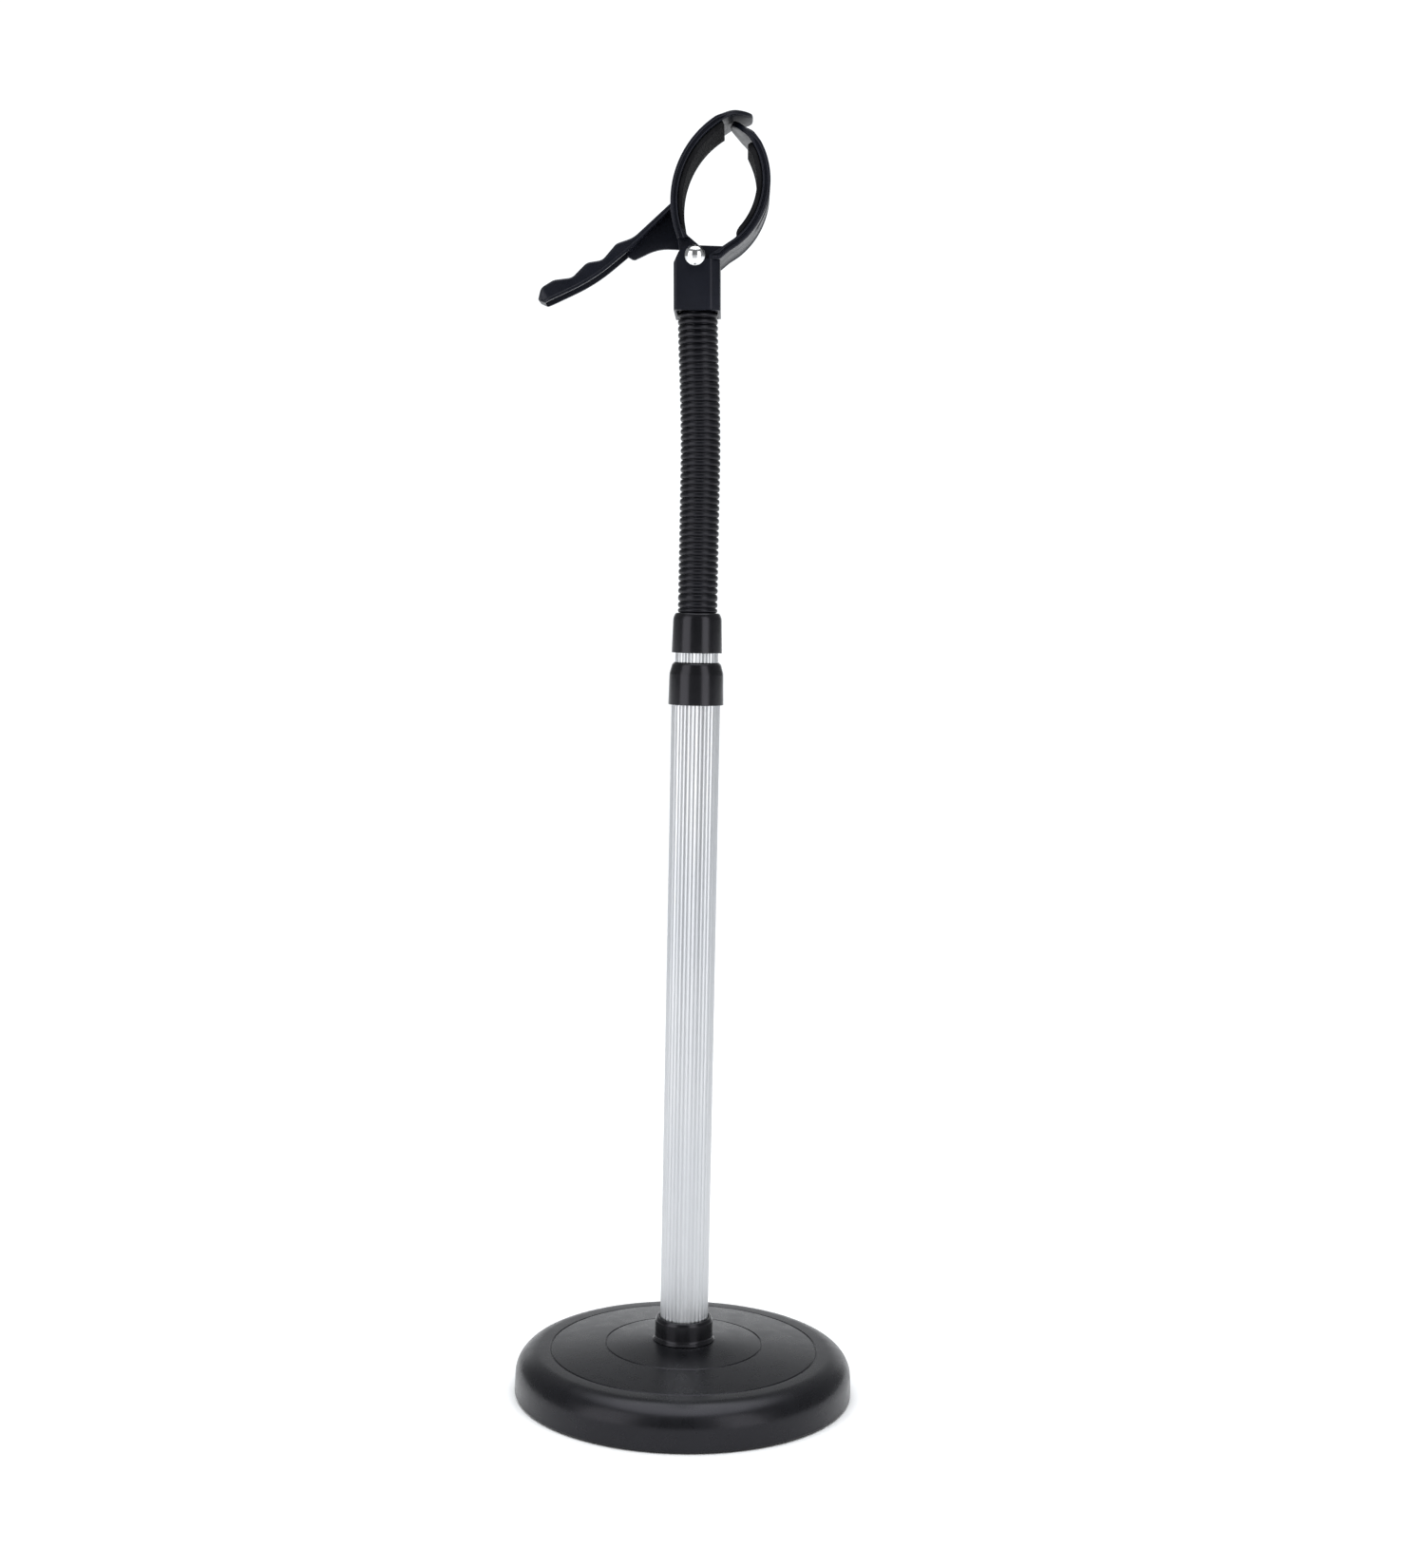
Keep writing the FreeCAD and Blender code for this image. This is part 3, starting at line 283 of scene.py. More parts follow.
def turned(name, corners, steps=ROUND_STEPS, step_deg=9.0, sharp_deg=35.0):
    """A body turned about Z from a closed outline of (radius, height) corners."""
    profile = fillet(corners, step_deg=step_deg)
    points = []
    for radius, height in profile:
        for j in range(steps):
            angle = 2 * math.pi * j / steps
            points.append((radius * math.cos(angle), radius * math.sin(angle), height))
    faces = grid_faces(len(profile), steps, wrap_rows=True)
    return make_object(name, points, faces, sharp_deg)


def slab(name, corners, y_from, y_to):
    """A plate in the clamp's plane, whose outer edges are rounded along Y."""
    outline = fillet(corners)
    edge = PLATE_EDGE_ROUND
    levels = []
    for angle_deg in (0, 30, 60, 90):
        angle = math.radians(angle_deg)
        levels.append((edge * (1 - math.sin(angle)), edge * (1 - math.cos(angle))))
    rows = [(inset(outline, inward), y_from + along) for inward, along in levels]
    rows += [(inset(outline, inward), y_to - along) for inward, along in reversed(levels)]
    points = [(PIVOT[0] + x, y, PIVOT[2] + z) for line, y in rows for x, z in line]
    count = len(outline)
    faces = grid_faces(len(rows), count)
    faces.append(tuple(range(count)))
    faces.append(tuple(range(len(points) - count, len(points))))
    return make_object(name, points, faces)


def band_section(thick, wide, groove, rib):
    """Half ring round a jaw's cross-section, as (height over the inner face, y) points.

    Where there is a groove, the edge is two round beads with the groove between them.
    """
    share = groove / GROOVE_DEPTH * min(1.0, max(0.0, (thick - 2.4) / 0.6))
    rim = RIM_HEIGHT * share
    low = (thick - GROOVE_FROM_OUTSIDE - GROOVE_WIDTH) * share + thick / 2 * (1 - share)
    high = (thick - GROOVE_FROM_OUTSIDE) * share + thick / 2 * (1 - share)
    top = thick + rim
    edge = min(EDGE_BEAD_DEPTH, thick * 0.45)
    ring = [(0, 0), (0, wide * 0.5)]
    for start, end in ((0.0, low), (high, top)):
        for angle_deg in range(0, 181, 22):
            angle = math.radians(angle_deg)
            height = (start + end) / 2 - (end - start) / 2 * math.cos(angle)
            beaded = wide - edge * (1 - math.sin(angle))
            plain = wide - shrunk(min(height, top - height), edge)
            ring.append((height, beaded * share + plain * (1 - share)))
        if start == 0.0:
            deep = wide - GROOVE_DEPTH * share
            ring += [(low + 0.12 * share, deep), (high - 0.12 * share, deep)]
    ring += [(top, wide - RIM_WIDTH * share - 0.1), (thick, wide - (RIM_WIDTH + 0.5) * share - 0.2)]
    shoulder = min(RIB_HALF_WIDTH + 0.5, wide * 0.8)
    ring += [(thick, shoulder), (thick + rib, min(RIB_HALF_WIDTH, wide * 0.7)), (thick + rib, 0)]
    return ring


def band(name, stations):
    """A jaw lofted through stations (inner point, outer point, half width, groove, rib)."""
    points = []
    for inner, outer, wide, groove, rib in stations:
        across = outer - inner
        thick = float(np.linalg.norm(across))
        across = across / thick
        half = band_section(thick, wide, groove, rib)
        ring = half + [(n, -y) for n, y in reversed(half[1:-1])]
        for n, y in ring:
            x, z = inner + across * n
            points.append((PIVOT[0] + x, y, PIVOT[2] + z))
    count = len(points) // len(stations)
    faces = grid_faces(len(stations), count)
    faces.append(tuple(range(count)))
    faces.append(tuple(range(len(points) - count, len(points))))
    return make_object(name, points, faces)


# ---------------------------------------------------------------- materials
def node(tree, kind, **inputs):
    """A shader node with some of its inputs set, by name with _ for a space."""
    made = tree.nodes.new(kind)
    for key, value in inputs.items():
        made.inputs[key.replace("_", " ")].default_value = value
    return made


def noise(tree, scale, detail=4.0, stretch=(1, 1, 1)):
    """Noise in the object's own rest coordinates, stretched along its axes."""
    coordinates = node(tree, "ShaderNodeTexCoord")
    mapping = node(tree, "ShaderNodeMapping", Scale=stretch)
    texture = node(tree, "ShaderNodeTexNoise", Scale=scale, Detail=detail)
    tree.links.new(coordinates.outputs["Object"], mapping.inputs["Vector"])
    tree.links.new(mapping.outputs["Vector"], texture.inputs["Vector"])
    return texture.outputs["Fac"]


def spread(tree, source, low, high, from_low=0.3, from_high=0.7):
    """Map a noise value to a range of plain values."""
    made = node(tree, "ShaderNodeMapRange", From_Min=from_low, From_Max=from_high, To_Min=low, To_Max=high)
    tree.links.new(source, made.inputs["Value"])
    return made.outputs["Result"]


def tint(tree, source, dark, light):
    """A colour between two, by a value from 0 to 1."""
    made = tree.nodes.new("ShaderNodeMix")
    made.data_type = "RGBA"
    made.inputs["A"].default_value = (*dark, 1)
    made.inputs["B"].default_value = (*light, 1)
    tree.links.new(source, made.inputs["Factor"])
    return made.outputs["Result"]


def bump(tree, height, strength, distance, normal=None):
    """A bump of a height value, over another bump's normal if one is given."""
    made = node(tree, "ShaderNodeBump", Strength=strength, Distance=distance)
    tree.links.new(height, made.inputs["Height"])
    if normal is not None:
        tree.links.new(normal, made.inputs["Normal"])
    return made.outputs["Normal"]


def new_material(name, metallic=0.0, specular=0.5):
    """An empty Principled material; returns it with its tree and shader."""
    material = bpy.data.materials.new(name)
    material.use_nodes = True
    tree = material.node_tree
    shader = tree.nodes["Principled BSDF"]
    shader.inputs["Metallic"].default_value = metallic
    shader.inputs["Specular IOR Level"].default_value = specular
    return material, tree, shader


def moulded_plastic(name, dark, light, rough, grain, grain_depth, specular=0.5):
    """Moulded plastic: faint mottling, handling marks in its gloss and a fine grain."""
    material, tree, shader = new_material(name, specular=specular)
    shader.inputs["Specular Tint"].default_value = COOL_SHEEN
    cloud = spread(tree, noise(tree, 45.0, 5.0), 0.0, 1.0)
    tree.links.new(tint(tree, cloud, dark, light), shader.inputs["Base Color"])
    marks = noise(tree, 130.0, 8.0)
    tree.links.new(spread(tree, marks, rough[0], rough[1]), shader.inputs["Roughness"])
    ripple = bump(tree, noise(tree, 40.0, 2.0), 0.08, 0.0002)
    fine = bump(tree, noise(tree, grain, 3.0), 0.12, grain_depth, ripple)
    tree.links.new(fine, shader.inputs["Normal"])
    return material


def ribbed_aluminium(name):
    """Bright anodised aluminium, drawn along Z: long streaks, fine scratches, soft patches."""
    material, tree, shader = new_material(name, metallic=1.0)
    patches = spread(tree, noise(tree, 16.0, 3.0, (1, 1, 0.35)), 0.0, 1.0)
    bright = tint(tree, patches, (0.50, 0.515, 0.54), (0.60, 0.605, 0.615))
    tree.links.new(bright, shader.inputs["Base Color"])
    streaks = noise(tree, 700.0, 6.0, (1, 1, 0.012))
    tree.links.new(spread(tree, streaks, 0.30, 0.42), shader.inputs["Roughness"])
    drawn = bump(tree, streaks, 0.25, 0.00006)
    pits = bump(tree, noise(tree, 1500.0, 4.0, (1, 1, 0.2)), 0.15, 0.00004, drawn)
    tree.links.new(pits, shader.inputs["Normal"])
    return material


def plain_metal(name, dark, light, rough):
    """Plated or oiled steel with a slight unevenness."""
    material, tree, shader = new_material(name, metallic=1.0)
    cloud = spread(tree, noise(tree, 180.0, 5.0), 0.0, 1.0)
    tree.links.new(tint(tree, cloud, dark, light), shader.inputs["Base Color"])
    marks = noise(tree, 420.0, 6.0)
    tree.links.new(spread(tree, marks, rough[0], rough[1]), shader.inputs["Roughness"])
    tree.links.new(bump(tree, marks, 0.12, 0.00005), shader.inputs["Normal"])
    return material


def rubber(name):
    """Matt rubber with a fine tooth and rubbed patches."""
    material, tree, shader = new_material(name, specular=0.02)
    cloud = spread(tree, noise(tree, 90.0, 6.0), 0.0, 1.0)
    black = tint(tree, cloud, (0.009, 0.009, 0.010), (0.018, 0.018, 0.020))
    tree.links.new(black, shader.inputs["Base Color"])
    tree.links.new(spread(tree, cloud, 0.62, 0.82, 0.0, 1.0), shader.inputs["Roughness"])
    tree.links.new(bump(tree, noise(tree, 2200.0, 3.0), 0.2, 0.00008), shader.inputs["Normal"])
    return material


def cement(name):
    """Rough cast cement with grains and pores."""
    material, tree, shader = new_material(name, specular=0.3)
    grains = spread(tree, noise(tree, 260.0, 8.0), 0.0, 1.0)
    tree.links.new(tint(tree, grains, (0.32, 0.31, 0.29), (0.58, 0.57, 0.54)), shader.inputs["Base Color"])
    tree.links.new(spread(tree, grains, 0.85, 0.95, 0.0, 1.0), shader.inputs["Roughness"])
    tree.links.new(bump(tree, grains, 0.8, 0.0008), shader.inputs["Normal"])
    return material


def make_materials():
    """One material for each slot of the record."""
    made = {
        "base_black": moulded_plastic("base_black", (0.0050, 0.0052, 0.0062), (0.0075, 0.0078, 0.0092),
                                      (0.25, 0.32), 1500.0, 0.00005, 0.28),
        "collar_black": moulded_plastic("collar_black", (0.0040, 0.0041, 0.0048), (0.0060, 0.0062, 0.0072),
                                        (0.20, 0.26), 1800.0, 0.00003, 0.36),
        "plate_black": moulded_plastic("plate_black", (0.010, 0.010, 0.011), (0.018, 0.018, 0.019),
                                       (0.6, 0.75), 1400.0, 0.00025, 0.3),
        "neck_black": moulded_plastic("neck_black", (0.0026, 0.0028, 0.0040), (0.0040, 0.0044, 0.0062),
                                      (0.28, 0.35), 1600.0, 0.00004, 0.28),
        "clamp_black": moulded_plastic("clamp_black", (0.0030, 0.0040, 0.0072), (0.0048, 0.0062, 0.0112),
                                       (0.34, 0.42), 1800.0, 0.00003, 0.27),
        "lock_nylon": moulded_plastic("lock_nylon", (0.60, 0.59, 0.54), (0.70, 0.69, 0.64),
                                      (0.42, 0.55), 900.0, 0.0001),
        "pole_aluminium": ribbed_aluminium("pole_aluminium"),
        "zinc_steel": plain_metal("zinc_steel", (0.50, 0.51, 0.52), (0.66, 0.67, 0.68), (0.3, 0.5)),
        "core_steel": plain_metal("core_steel", (0.30, 0.30, 0.31), (0.44, 0.45, 0.46), (0.35, 0.55)),
        "spring_steel": plain_metal("spring_steel", (0.38, 0.39, 0.41), (0.55, 0.56, 0.58), (0.2, 0.35)),
        "rivet_chrome": plain_metal("rivet_chrome", (0.80, 0.81, 0.82), (0.90, 0.90, 0.91), (0.14, 0.20)),
        "pad_rubber": rubber("pad_rubber"),
        "foot_rubber": rubber("foot_rubber"),
        "cement": cement("cement"),
    }
    return made


MATERIALS = make_materials()


def dress_cad_nodes():
    """Give every CAD node the material of its slot."""
    for part in frame["record"]["subparts"]:
        obj = frame["nodes"][part["node"]]
        obj.data.materials.clear()
        obj.data.materials.append(MATERIALS[part["material_slot"]])


# ---------------------------------------------------------------- base
def box_mm(name):
    """Lowest and highest corner of a CAD node, in millimetres."""
    low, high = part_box(name)
    return low / MM, high / MM


def base_shell():
    """Shell with a softly rounded shoulder and two fine moulded grooves."""
    low, high = box_mm("base_shell")
    radius = high.x
    slope = (BASE_CENTRE_TOP - BASE_EDGE_TOP) / (radius - BASE_EDGE_ROUND - COLLAR_FOOT_RADIUS)

    def top(r):
        """Height of the cone-shaped top at a radius."""
        return BASE_EDGE_TOP + (radius - BASE_EDGE_ROUND - r) * slope

    corners = [
        (radius - 2.6, low.z),
        (radius - 0.7, low.z, 0.3),
        (radius, low.z + 1.2, 0.6),
        (radius - 0.7, BASE_EDGE_TOP, BASE_EDGE_ROUND),
    ]
    for groove in BASE_GROOVE_RADII:
        half = BASE_GROOVE_WIDTH / 2
        corners += [
            (groove + half, top(groove + half), 0.12),
            (groove, top(groove) - BASE_GROOVE_DEPTH, 0.2),
            (groove - half, top(groove - half), 0.12),
        ]
    bore = COLLAR_FOOT_RADIUS - 1.9
    corners += [
        (bore, top(bore)),
        (bore, BASE_CENTRE_TOP - 4.0),
        (radius - 4.0, BASE_EDGE_TOP - 4.4, 6.0),
    ]
    shell = turned("base_shell_skin", corners, steps=256, step_deg=4.0, sharp_deg=50.0)
    finish_piece(shell, "base", "base_black", ["base_shell"])


def base_collar():
    """Collar round the pole's foot with a rolled top edge and a small foot flange."""
    high = box_mm("base_collar")[1]
    bore = COLLAR_BORE
    seat = high.z - COLLAR_HEIGHT
    collar = turned("base_collar_skin", [
        (bore, seat - 3.0),
        (14.6, seat - 3.0),
        (14.6, seat + 0.15),
        (16.5, seat + 0.15, 0.3),
        (15.15, seat + 1.9, 1.3),
        (15.0, seat + 2.6, 3.0),
        (14.95, high.z - 1.6, 0.8),
        (14.1, high.z, 0.7),
        (bore + 0.4, high.z, 0.3),
        (bore, high.z - 0.5, 0.3),
    ])
    finish_piece(collar, "base", "collar_black", ["base_collar"])


def foot_ring():
    """Rubber ring under the base with softened edges and two fine ribs."""
    low, high = box_mm("foot_ring")
    outer = high.x
    inner = outer - FOOT_RING_WIDTH
    ring = turned("foot_ring_rubber", [
        (inner, high.z),
        (inner, low.z + 0.5, 0.3),
        (inner + 0.6, low.z, 0.3),
        (inner + 2.6, low.z, 0.2),
        (inner + 3.0, low.z + 0.35, 0.15),
        (inner + 4.0, low.z + 0.35, 0.15),
        (inner + 4.4, low.z, 0.2),
        (outer - 0.6, low.z, 0.3),
        (outer, low.z + 0.5, 0.3),
        (outer, high.z),
    ], steps=192)
    finish_piece(ring, "base", "foot_rubber", ["foot_ring"])


# ---------------------------------------------------------------- poles
def ribbed_pole(name, cad_node, body, bore):
    """Aluminium tube with round ribs side by side and a small burr-free end chamfer."""
    low, high = box_mm(cad_node)
    crest = high.x
    chamfer = 0.3
    count = POLE_RIBS * RIB_STEPS
    rows = []
    for z, cut in ((low.z, chamfer), (low.z + chamfer, 0), (high.z - chamfer, 0), (high.z, chamfer)):
        rows.append([(crest - POLE_RIB_DEPTH * (1 - abs(math.sin(math.pi * j / RIB_STEPS))) - cut, z)
                     for j in range(count)])
    rows.append([(bore, high.z)] * count)
    rows.append([(bore, low.z)] * count)
    points = []
    for row in rows:
        for j, (radius, z) in enumerate(row):
            angle = 2 * math.pi * j / count
            points.append((radius * math.cos(angle), radius * math.sin(angle), z))
    faces = grid_faces(len(rows), count, wrap_rows=True)
    pole = make_object(name, points, faces, sharp_deg=40.0)
    finish_piece(pole, body, "pole_aluminium", [cad_node])


def lower_ferrule():
    """Cap of the lower pole: gently tapered with a large soft shoulder."""
    low, high = box_mm("lower_ferrule")
    guide = 11.15
    inside = 12.55
    ferrule = turned("lower_ferrule_skin", [
        (inside, low.z),
        (14.05, low.z, 0.25),
        (13.75, high.z - 5.5, 7.0),
        (12.2, high.z, 2.0),
        (guide + 0.3, high.z, 0.25),
        (guide, high.z - 0.4, 0.25),
        (guide, high.z - 6.0),
        (inside, high.z - 6.4),
    ], step_deg=6.0)
    finish_piece(ferrule, "base", "collar_black", ["lower_ferrule"])


def upper_ferrule():
    """Sleeve between the upper pole and the gooseneck."""
    low, high = box_mm("upper_ferrule")
    inside = 11.0
    mouth = VALLEY_RADIUS + 0.1
    ferrule = turned("upper_ferrule_skin", [
        (inside, low.z),
        (12.85, low.z, 0.25),
        (12.35, high.z - 2.6, 5.0),
        (11.2, high.z, 1.3),
        (mouth, high.z),
        (mouth, high.z - 12.0),
        (inside, high.z - 12.4),
    ], step_deg=6.0)
    finish_piece(ferrule, "upper_stage", "collar_black", ["upper_ferrule"])


# ---------------------------------------------------------------- gooseneck
def ring_profile():
    """(height, share of the ring's depth) points of one ring: half an ellipse and its valley."""
    middle = RING_PITCH / 2
    points = [(0.0, 0.0)]
    for turn in range(-90, 91, 15):
        lean = math.radians(turn)
        points.append((middle + RING_HALF_WIDTH * math.sin(lean), math.cos(lean)))
    return points


def sleeve_profile(length):
    """(height, radius) points of a stretch of corrugated sleeve, ring after ring."""
    points = []
    for i in range(round(length / RING_PITCH)):
        for height, share in ring_profile():
            radius = VALLEY_RADIUS + share * (RING_RADIUS - VALLEY_RADIUS)
            points.append((i * RING_PITCH + height, radius))
    points.append((length, VALLEY_RADIUS))
    return points


def sleeve_stretch(name, start, corner, end, after):
    """Sleeve along the smooth bend from start to end that touches both links' axes.

    after is a straight length added at the end.
    """
    start, corner, end = Vector(start), Vector(corner), Vector(end)
    first = (corner - start).normalized()
    last = (end - corner).normalized()
    curve = (corner - start).length + (end - corner).length
    points = []
    profile = sleeve_profile(curve + after)
    for height, radius in profile:
        if height > curve:
            centre, way = end + last * (height - curve), last
        else:
            t = height / curve
            centre = start * (1 - t) ** 2 + corner * 2 * t * (1 - t) + end * t ** 2
            way = (first * (1 - t) + last * t).normalized()
        side = Vector((0, 1, 0))
        other = side.cross(way).normalized()
        for j in range(SLEEVE_STEPS):
            angle = 2 * math.pi * j / SLEEVE_STEPS
            points.append(centre + (other * math.cos(angle) + side * math.sin(angle)) * radius)
    return make_object(name, points, grid_faces(len(profile), SLEEVE_STEPS), sharp_deg=60.0)


def gooseneck():
    """Twelve stretches of sleeve, each bending over one joint, with seams in mid-link valleys."""
    joints = [Vector(j["pos_m"]) / MM for j in NECK_JOINTS]
    count = len(joints)
    half_link = RING_PITCH * RINGS_PER_LINK / 2
    lean = math.radians(HEAD_LEAN_DEG)
    head_way = Vector((-math.sin(lean), 0, math.cos(lean)))
    for k, (here, joint) in enumerate(zip(joints, NECK_JOINTS)):
        below = Vector((0, 0, -1)) if k == 0 else (joints[k - 1] - here).normalized()
        above = head_way if k == count - 1 else (joints[k + 1] - here).normalized()
        reach_down = RING_PITCH if k == 0 else half_link
        start = here + below * reach_down
        end = here + above * half_link
        after = RING_PITCH * 3 if k == count - 1 else 0.0
        piece = sleeve_stretch(f"neck_sleeve_{k:02d}", start, here, end, after)
        piece.data.materials.append(MATERIALS["neck_black"])
        covers = [f"gooseneck_cover_{k:02d}"]
        if k == count - 1:
            covers.append(f"gooseneck_cover_{count:02d}")
        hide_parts(*covers)
        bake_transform(piece)


# ---------------------------------------------------------------- clamp
def leaned(obj):
    """Lean a bracket piece towards -X about the pivot, as the head stands."""
    pivot = Matrix.Translation(Vector(PIVOT) * MM)
    turn = Matrix.Rotation(math.radians(-HEAD_LEAN_DEG), 4, "Y")
    obj.data.transform(pivot @ turn @ pivot.inverted())
    return obj


def prism(name, outline, axis, low, high):
    """A helper solid with a flat outline, drawn along Y or Z from low to high."""
    points = []
    for level in (low, high):
        for a, b in outline:
            if axis == "y":
                points.append((PIVOT[0] + a, level, PIVOT[2] + b))
            else:
                points.append((PIVOT[0] + a, b, PIVOT[2] + level))
    count = len(outline)
    faces = grid_faces(2, count)
    faces.append(tuple(range(count)))
    faces.append(tuple(range(count, 2 * count)))
    return make_object(name, points, faces)


def combine(target, tool, operation):
    """Apply a boolean with a helper solid, then remove the helper."""
    modifier = target.modifiers.new("combine", "BOOLEAN")
    modifier.operation = operation
    modifier.object = tool
    modifier.solver = "EXACT"
    apply_modifiers(target)
    bpy.data.objects.remove(tool)


def apply_modifiers(obj):
    """Put the modifiers' result into the mesh."""
    graph = bpy.context.evaluated_depsgraph_get()
    mesh = bpy.data.meshes.new_from_object(obj.evaluated_get(graph))
    obj.modifiers.clear()
    obj.data = mesh


def soften(obj, width):
    """Round the sharp edges of a plain solid."""
    modifier = obj.modifiers.new("soften", "BEVEL")
    modifier.width = width * MM
    modifier.segments = 3
    modifier.limit_method = "ANGLE"
    modifier.angle_limit = math.radians(32.0)
    apply_modifiers(obj)
    shade(obj, 40.0)


def bracket():
    """Hollow box on the neck, its right upright edges bevelled, with two cheeks."""
    wide = JAW_HALF_WIDTH
    along, across = BRACKET_BEVEL
    plan = fillet([
        (BRACKET_LEFT, -wide, 1.6),
        (BRACKET_RIGHT - along, -wide, 2.6),
        (BRACKET_RIGHT, -wide + across, 1.8),
        (BRACKET_RIGHT, wide - across, 1.8),
        (BRACKET_RIGHT - along, wide, 2.6),
        (BRACKET_LEFT, wide, 1.6),
    ], step_deg=5.0)
    body = prism("bracket_shell", plan, "z", BRACKET_BOTTOM, 6.0)
    beyond = 5.0
    side = fillet([
        (BRACKET_LEFT - beyond, BRACKET_BOTTOM - beyond),
        (BRACKET_RIGHT + beyond, BRACKET_BOTTOM - beyond),
        (BRACKET_RIGHT + beyond, BRACKET_TOP),
        (4.4, BRACKET_TOP, 1.0),
        (3.0, 4.8, 2.4),
        (-4.2, 4.8, 2.4),
        (-8.0, 1.8, 2.0),
        (BRACKET_LEFT, -3.6, 3.0),
        (BRACKET_LEFT - 0.8, -8.0),
        (BRACKET_LEFT - beyond, -10.0),
    ], step_deg=5.0)
    combine(body, prism("tool", side, "y", -30, 30), "INTERSECT")
    inside = wide - CHEEK
    wall_right = BRACKET_RIGHT - BRACKET_WALL
    post_left = BRACKET_RIGHT - 1.0 - BRACKET_POST
    hollow = [
        (BRACKET_LEFT + 1.2, -inside),
        (post_left, -inside),
        (post_left, -inside + BRACKET_POST),
        (wall_right, -inside + BRACKET_POST),
        (wall_right, inside - BRACKET_POST),
        (post_left, inside - BRACKET_POST),
        (post_left, inside),
        (BRACKET_LEFT + 1.2, inside),
    ]
    combine(body, prism("tool", hollow, "z", BRACKET_BOTTOM - 3, 12.0), "DIFFERENCE")
    left_cut = [
        (BRACKET_LEFT - 3, -inside),
        (BRACKET_LEFT + 2.5, -inside),
        (BRACKET_LEFT + 2.5, inside),
        (BRACKET_LEFT - 3, inside),
    ]
    combine(body, prism("tool", left_cut, "z", -9.0, 12.0), "DIFFERENCE")
    soften(body, PLATE_EDGE_ROUND)
    leaned(body)
    finish_piece(body, "head", "clamp_black", ["bracket"])


def rivet():
    """Polished rivet: low domed heads with a thin rolled rim."""
    steps = 64
    shank = RIVET_SHANK_RADIUS
    face = JAW_HALF_WIDTH
    rise = RIVET_HEAD_HEIGHT
    reach = RIVET_HEAD_RADIUS
    sphere = (reach ** 2 + rise ** 2) / (2 * rise)
    dome = []
    for k in range(13):
        angle = math.asin(reach / sphere) * (1 - k / 12)
        dome.append((sphere * math.sin(angle), face + rise - sphere + sphere * math.cos(angle)))
    profile = [(reach - 0.5, face), (reach - 0.12, face + 0.02), (reach, face + 0.15)] + dome[1:]
    outline = [(shank, 0.0), (shank, face)] + profile
    outline = [(r, -y) for r, y in reversed(outline)] + outline[1:]
    points = []
    for radius, y in outline:
        for j in range(steps):
            angle = 2 * math.pi * j / steps
            points.append((PIVOT[0] + radius * math.cos(angle), y, PIVOT[2] + radius * math.sin(angle)))
    piece = make_object("rivet_polished", points, grid_faces(len(outline), steps), sharp_deg=50.0)
    finish_piece(piece, "head", "rivet_chrome", ["rivet"])


def shrunk(amount, reach):
    """How far an edge of rounding reach has drawn in, a distance amount from its end."""
    left = min(1.0, max(0.0, 1 - amount / reach))
    return reach * (1 - math.sqrt(1 - left ** 2))


def tip_station(inner, outer, wide, from_end, groove, rib):
    """A station near a jaw's free end, whose last millimetre is rounded over."""
    draw_in = shrunk(max(from_end, 0.0), 0.7)
    across = (outer - inner) / np.linalg.norm(outer - inner)
    return inner + across * draw_in, outer - across * draw_in, wide - draw_in, groove, rib


def lever_stations():
    """Stations of the lever jaw from its foot, up the arc and along the bill."""
    centre = LEVER_ARC_CENTRE
    outer_r = LEVER_ARC_RADIUS
    inner_r = outer_r - LEVER_BAND
    wide = JAW_HALF_WIDTH
    stations = []
    foot_inner = np.array((-3.0, 8.6))
    for k in range(6):
        share = k / 6
        angle = LEVER_FOOT_DEG + (LEVER_ROOT_DEG - LEVER_FOOT_DEG) * share
        inner = foot_inner + (on_arc(centre, inner_r, LEVER_ROOT_DEG) - foot_inner) * share
        stations.append((inner, on_arc(centre, outer_r, angle), wide, GROOVE_DEPTH, 0.0))
    for angle in np.arange(LEVER_ROOT_DEG, LEVER_BILL_DEG + 0.9, -2.0):
        inner = on_arc(centre, inner_r, angle)
        stations.append((inner, on_arc(centre, outer_r, angle), wide, GROOVE_DEPTH, 0.0))
    start_out = on_arc(centre, outer_r, LEVER_BILL_DEG)
    start_in = on_arc(centre, inner_r, LEVER_BILL_DEG)
    above = fillet([start_out, (17.0, 70.8, 16.0), (LEVER_TIP_X, 71.1)], closed=False, step_deg=2.0)
    below = fillet([start_in, (17.6, 68.8, 9.0), (LEVER_TIP_X, 68.9)], closed=False, step_deg=2.0)
    along = list(np.arange(start_out[0], LEVER_TIP_X - TONGUE_ROUND, 0.9))
    along += [LEVER_TIP_X - TONGUE_ROUND * (1 - math.sin(math.radians(a))) for a in range(0, 91, 5)]
    for x in along:
        from_end = LEVER_TIP_X - x
        half = wide - shrunk(from_end, TONGUE_ROUND)
        lag = max(0.0, from_end / (LEVER_TIP_X - start_out[0])) * (start_in[0] - start_out[0])
        inner = np.array((x + lag, value_at(below, x + lag)))
        outer = np.array((x, value_at(above, x)))
        groove = GROOVE_DEPTH * min(1.0, max(0.0, (from_end - 8.0) / 6.0))
        stations.append(tip_station(inner, outer, half, from_end, groove, 0.0))
    return stations


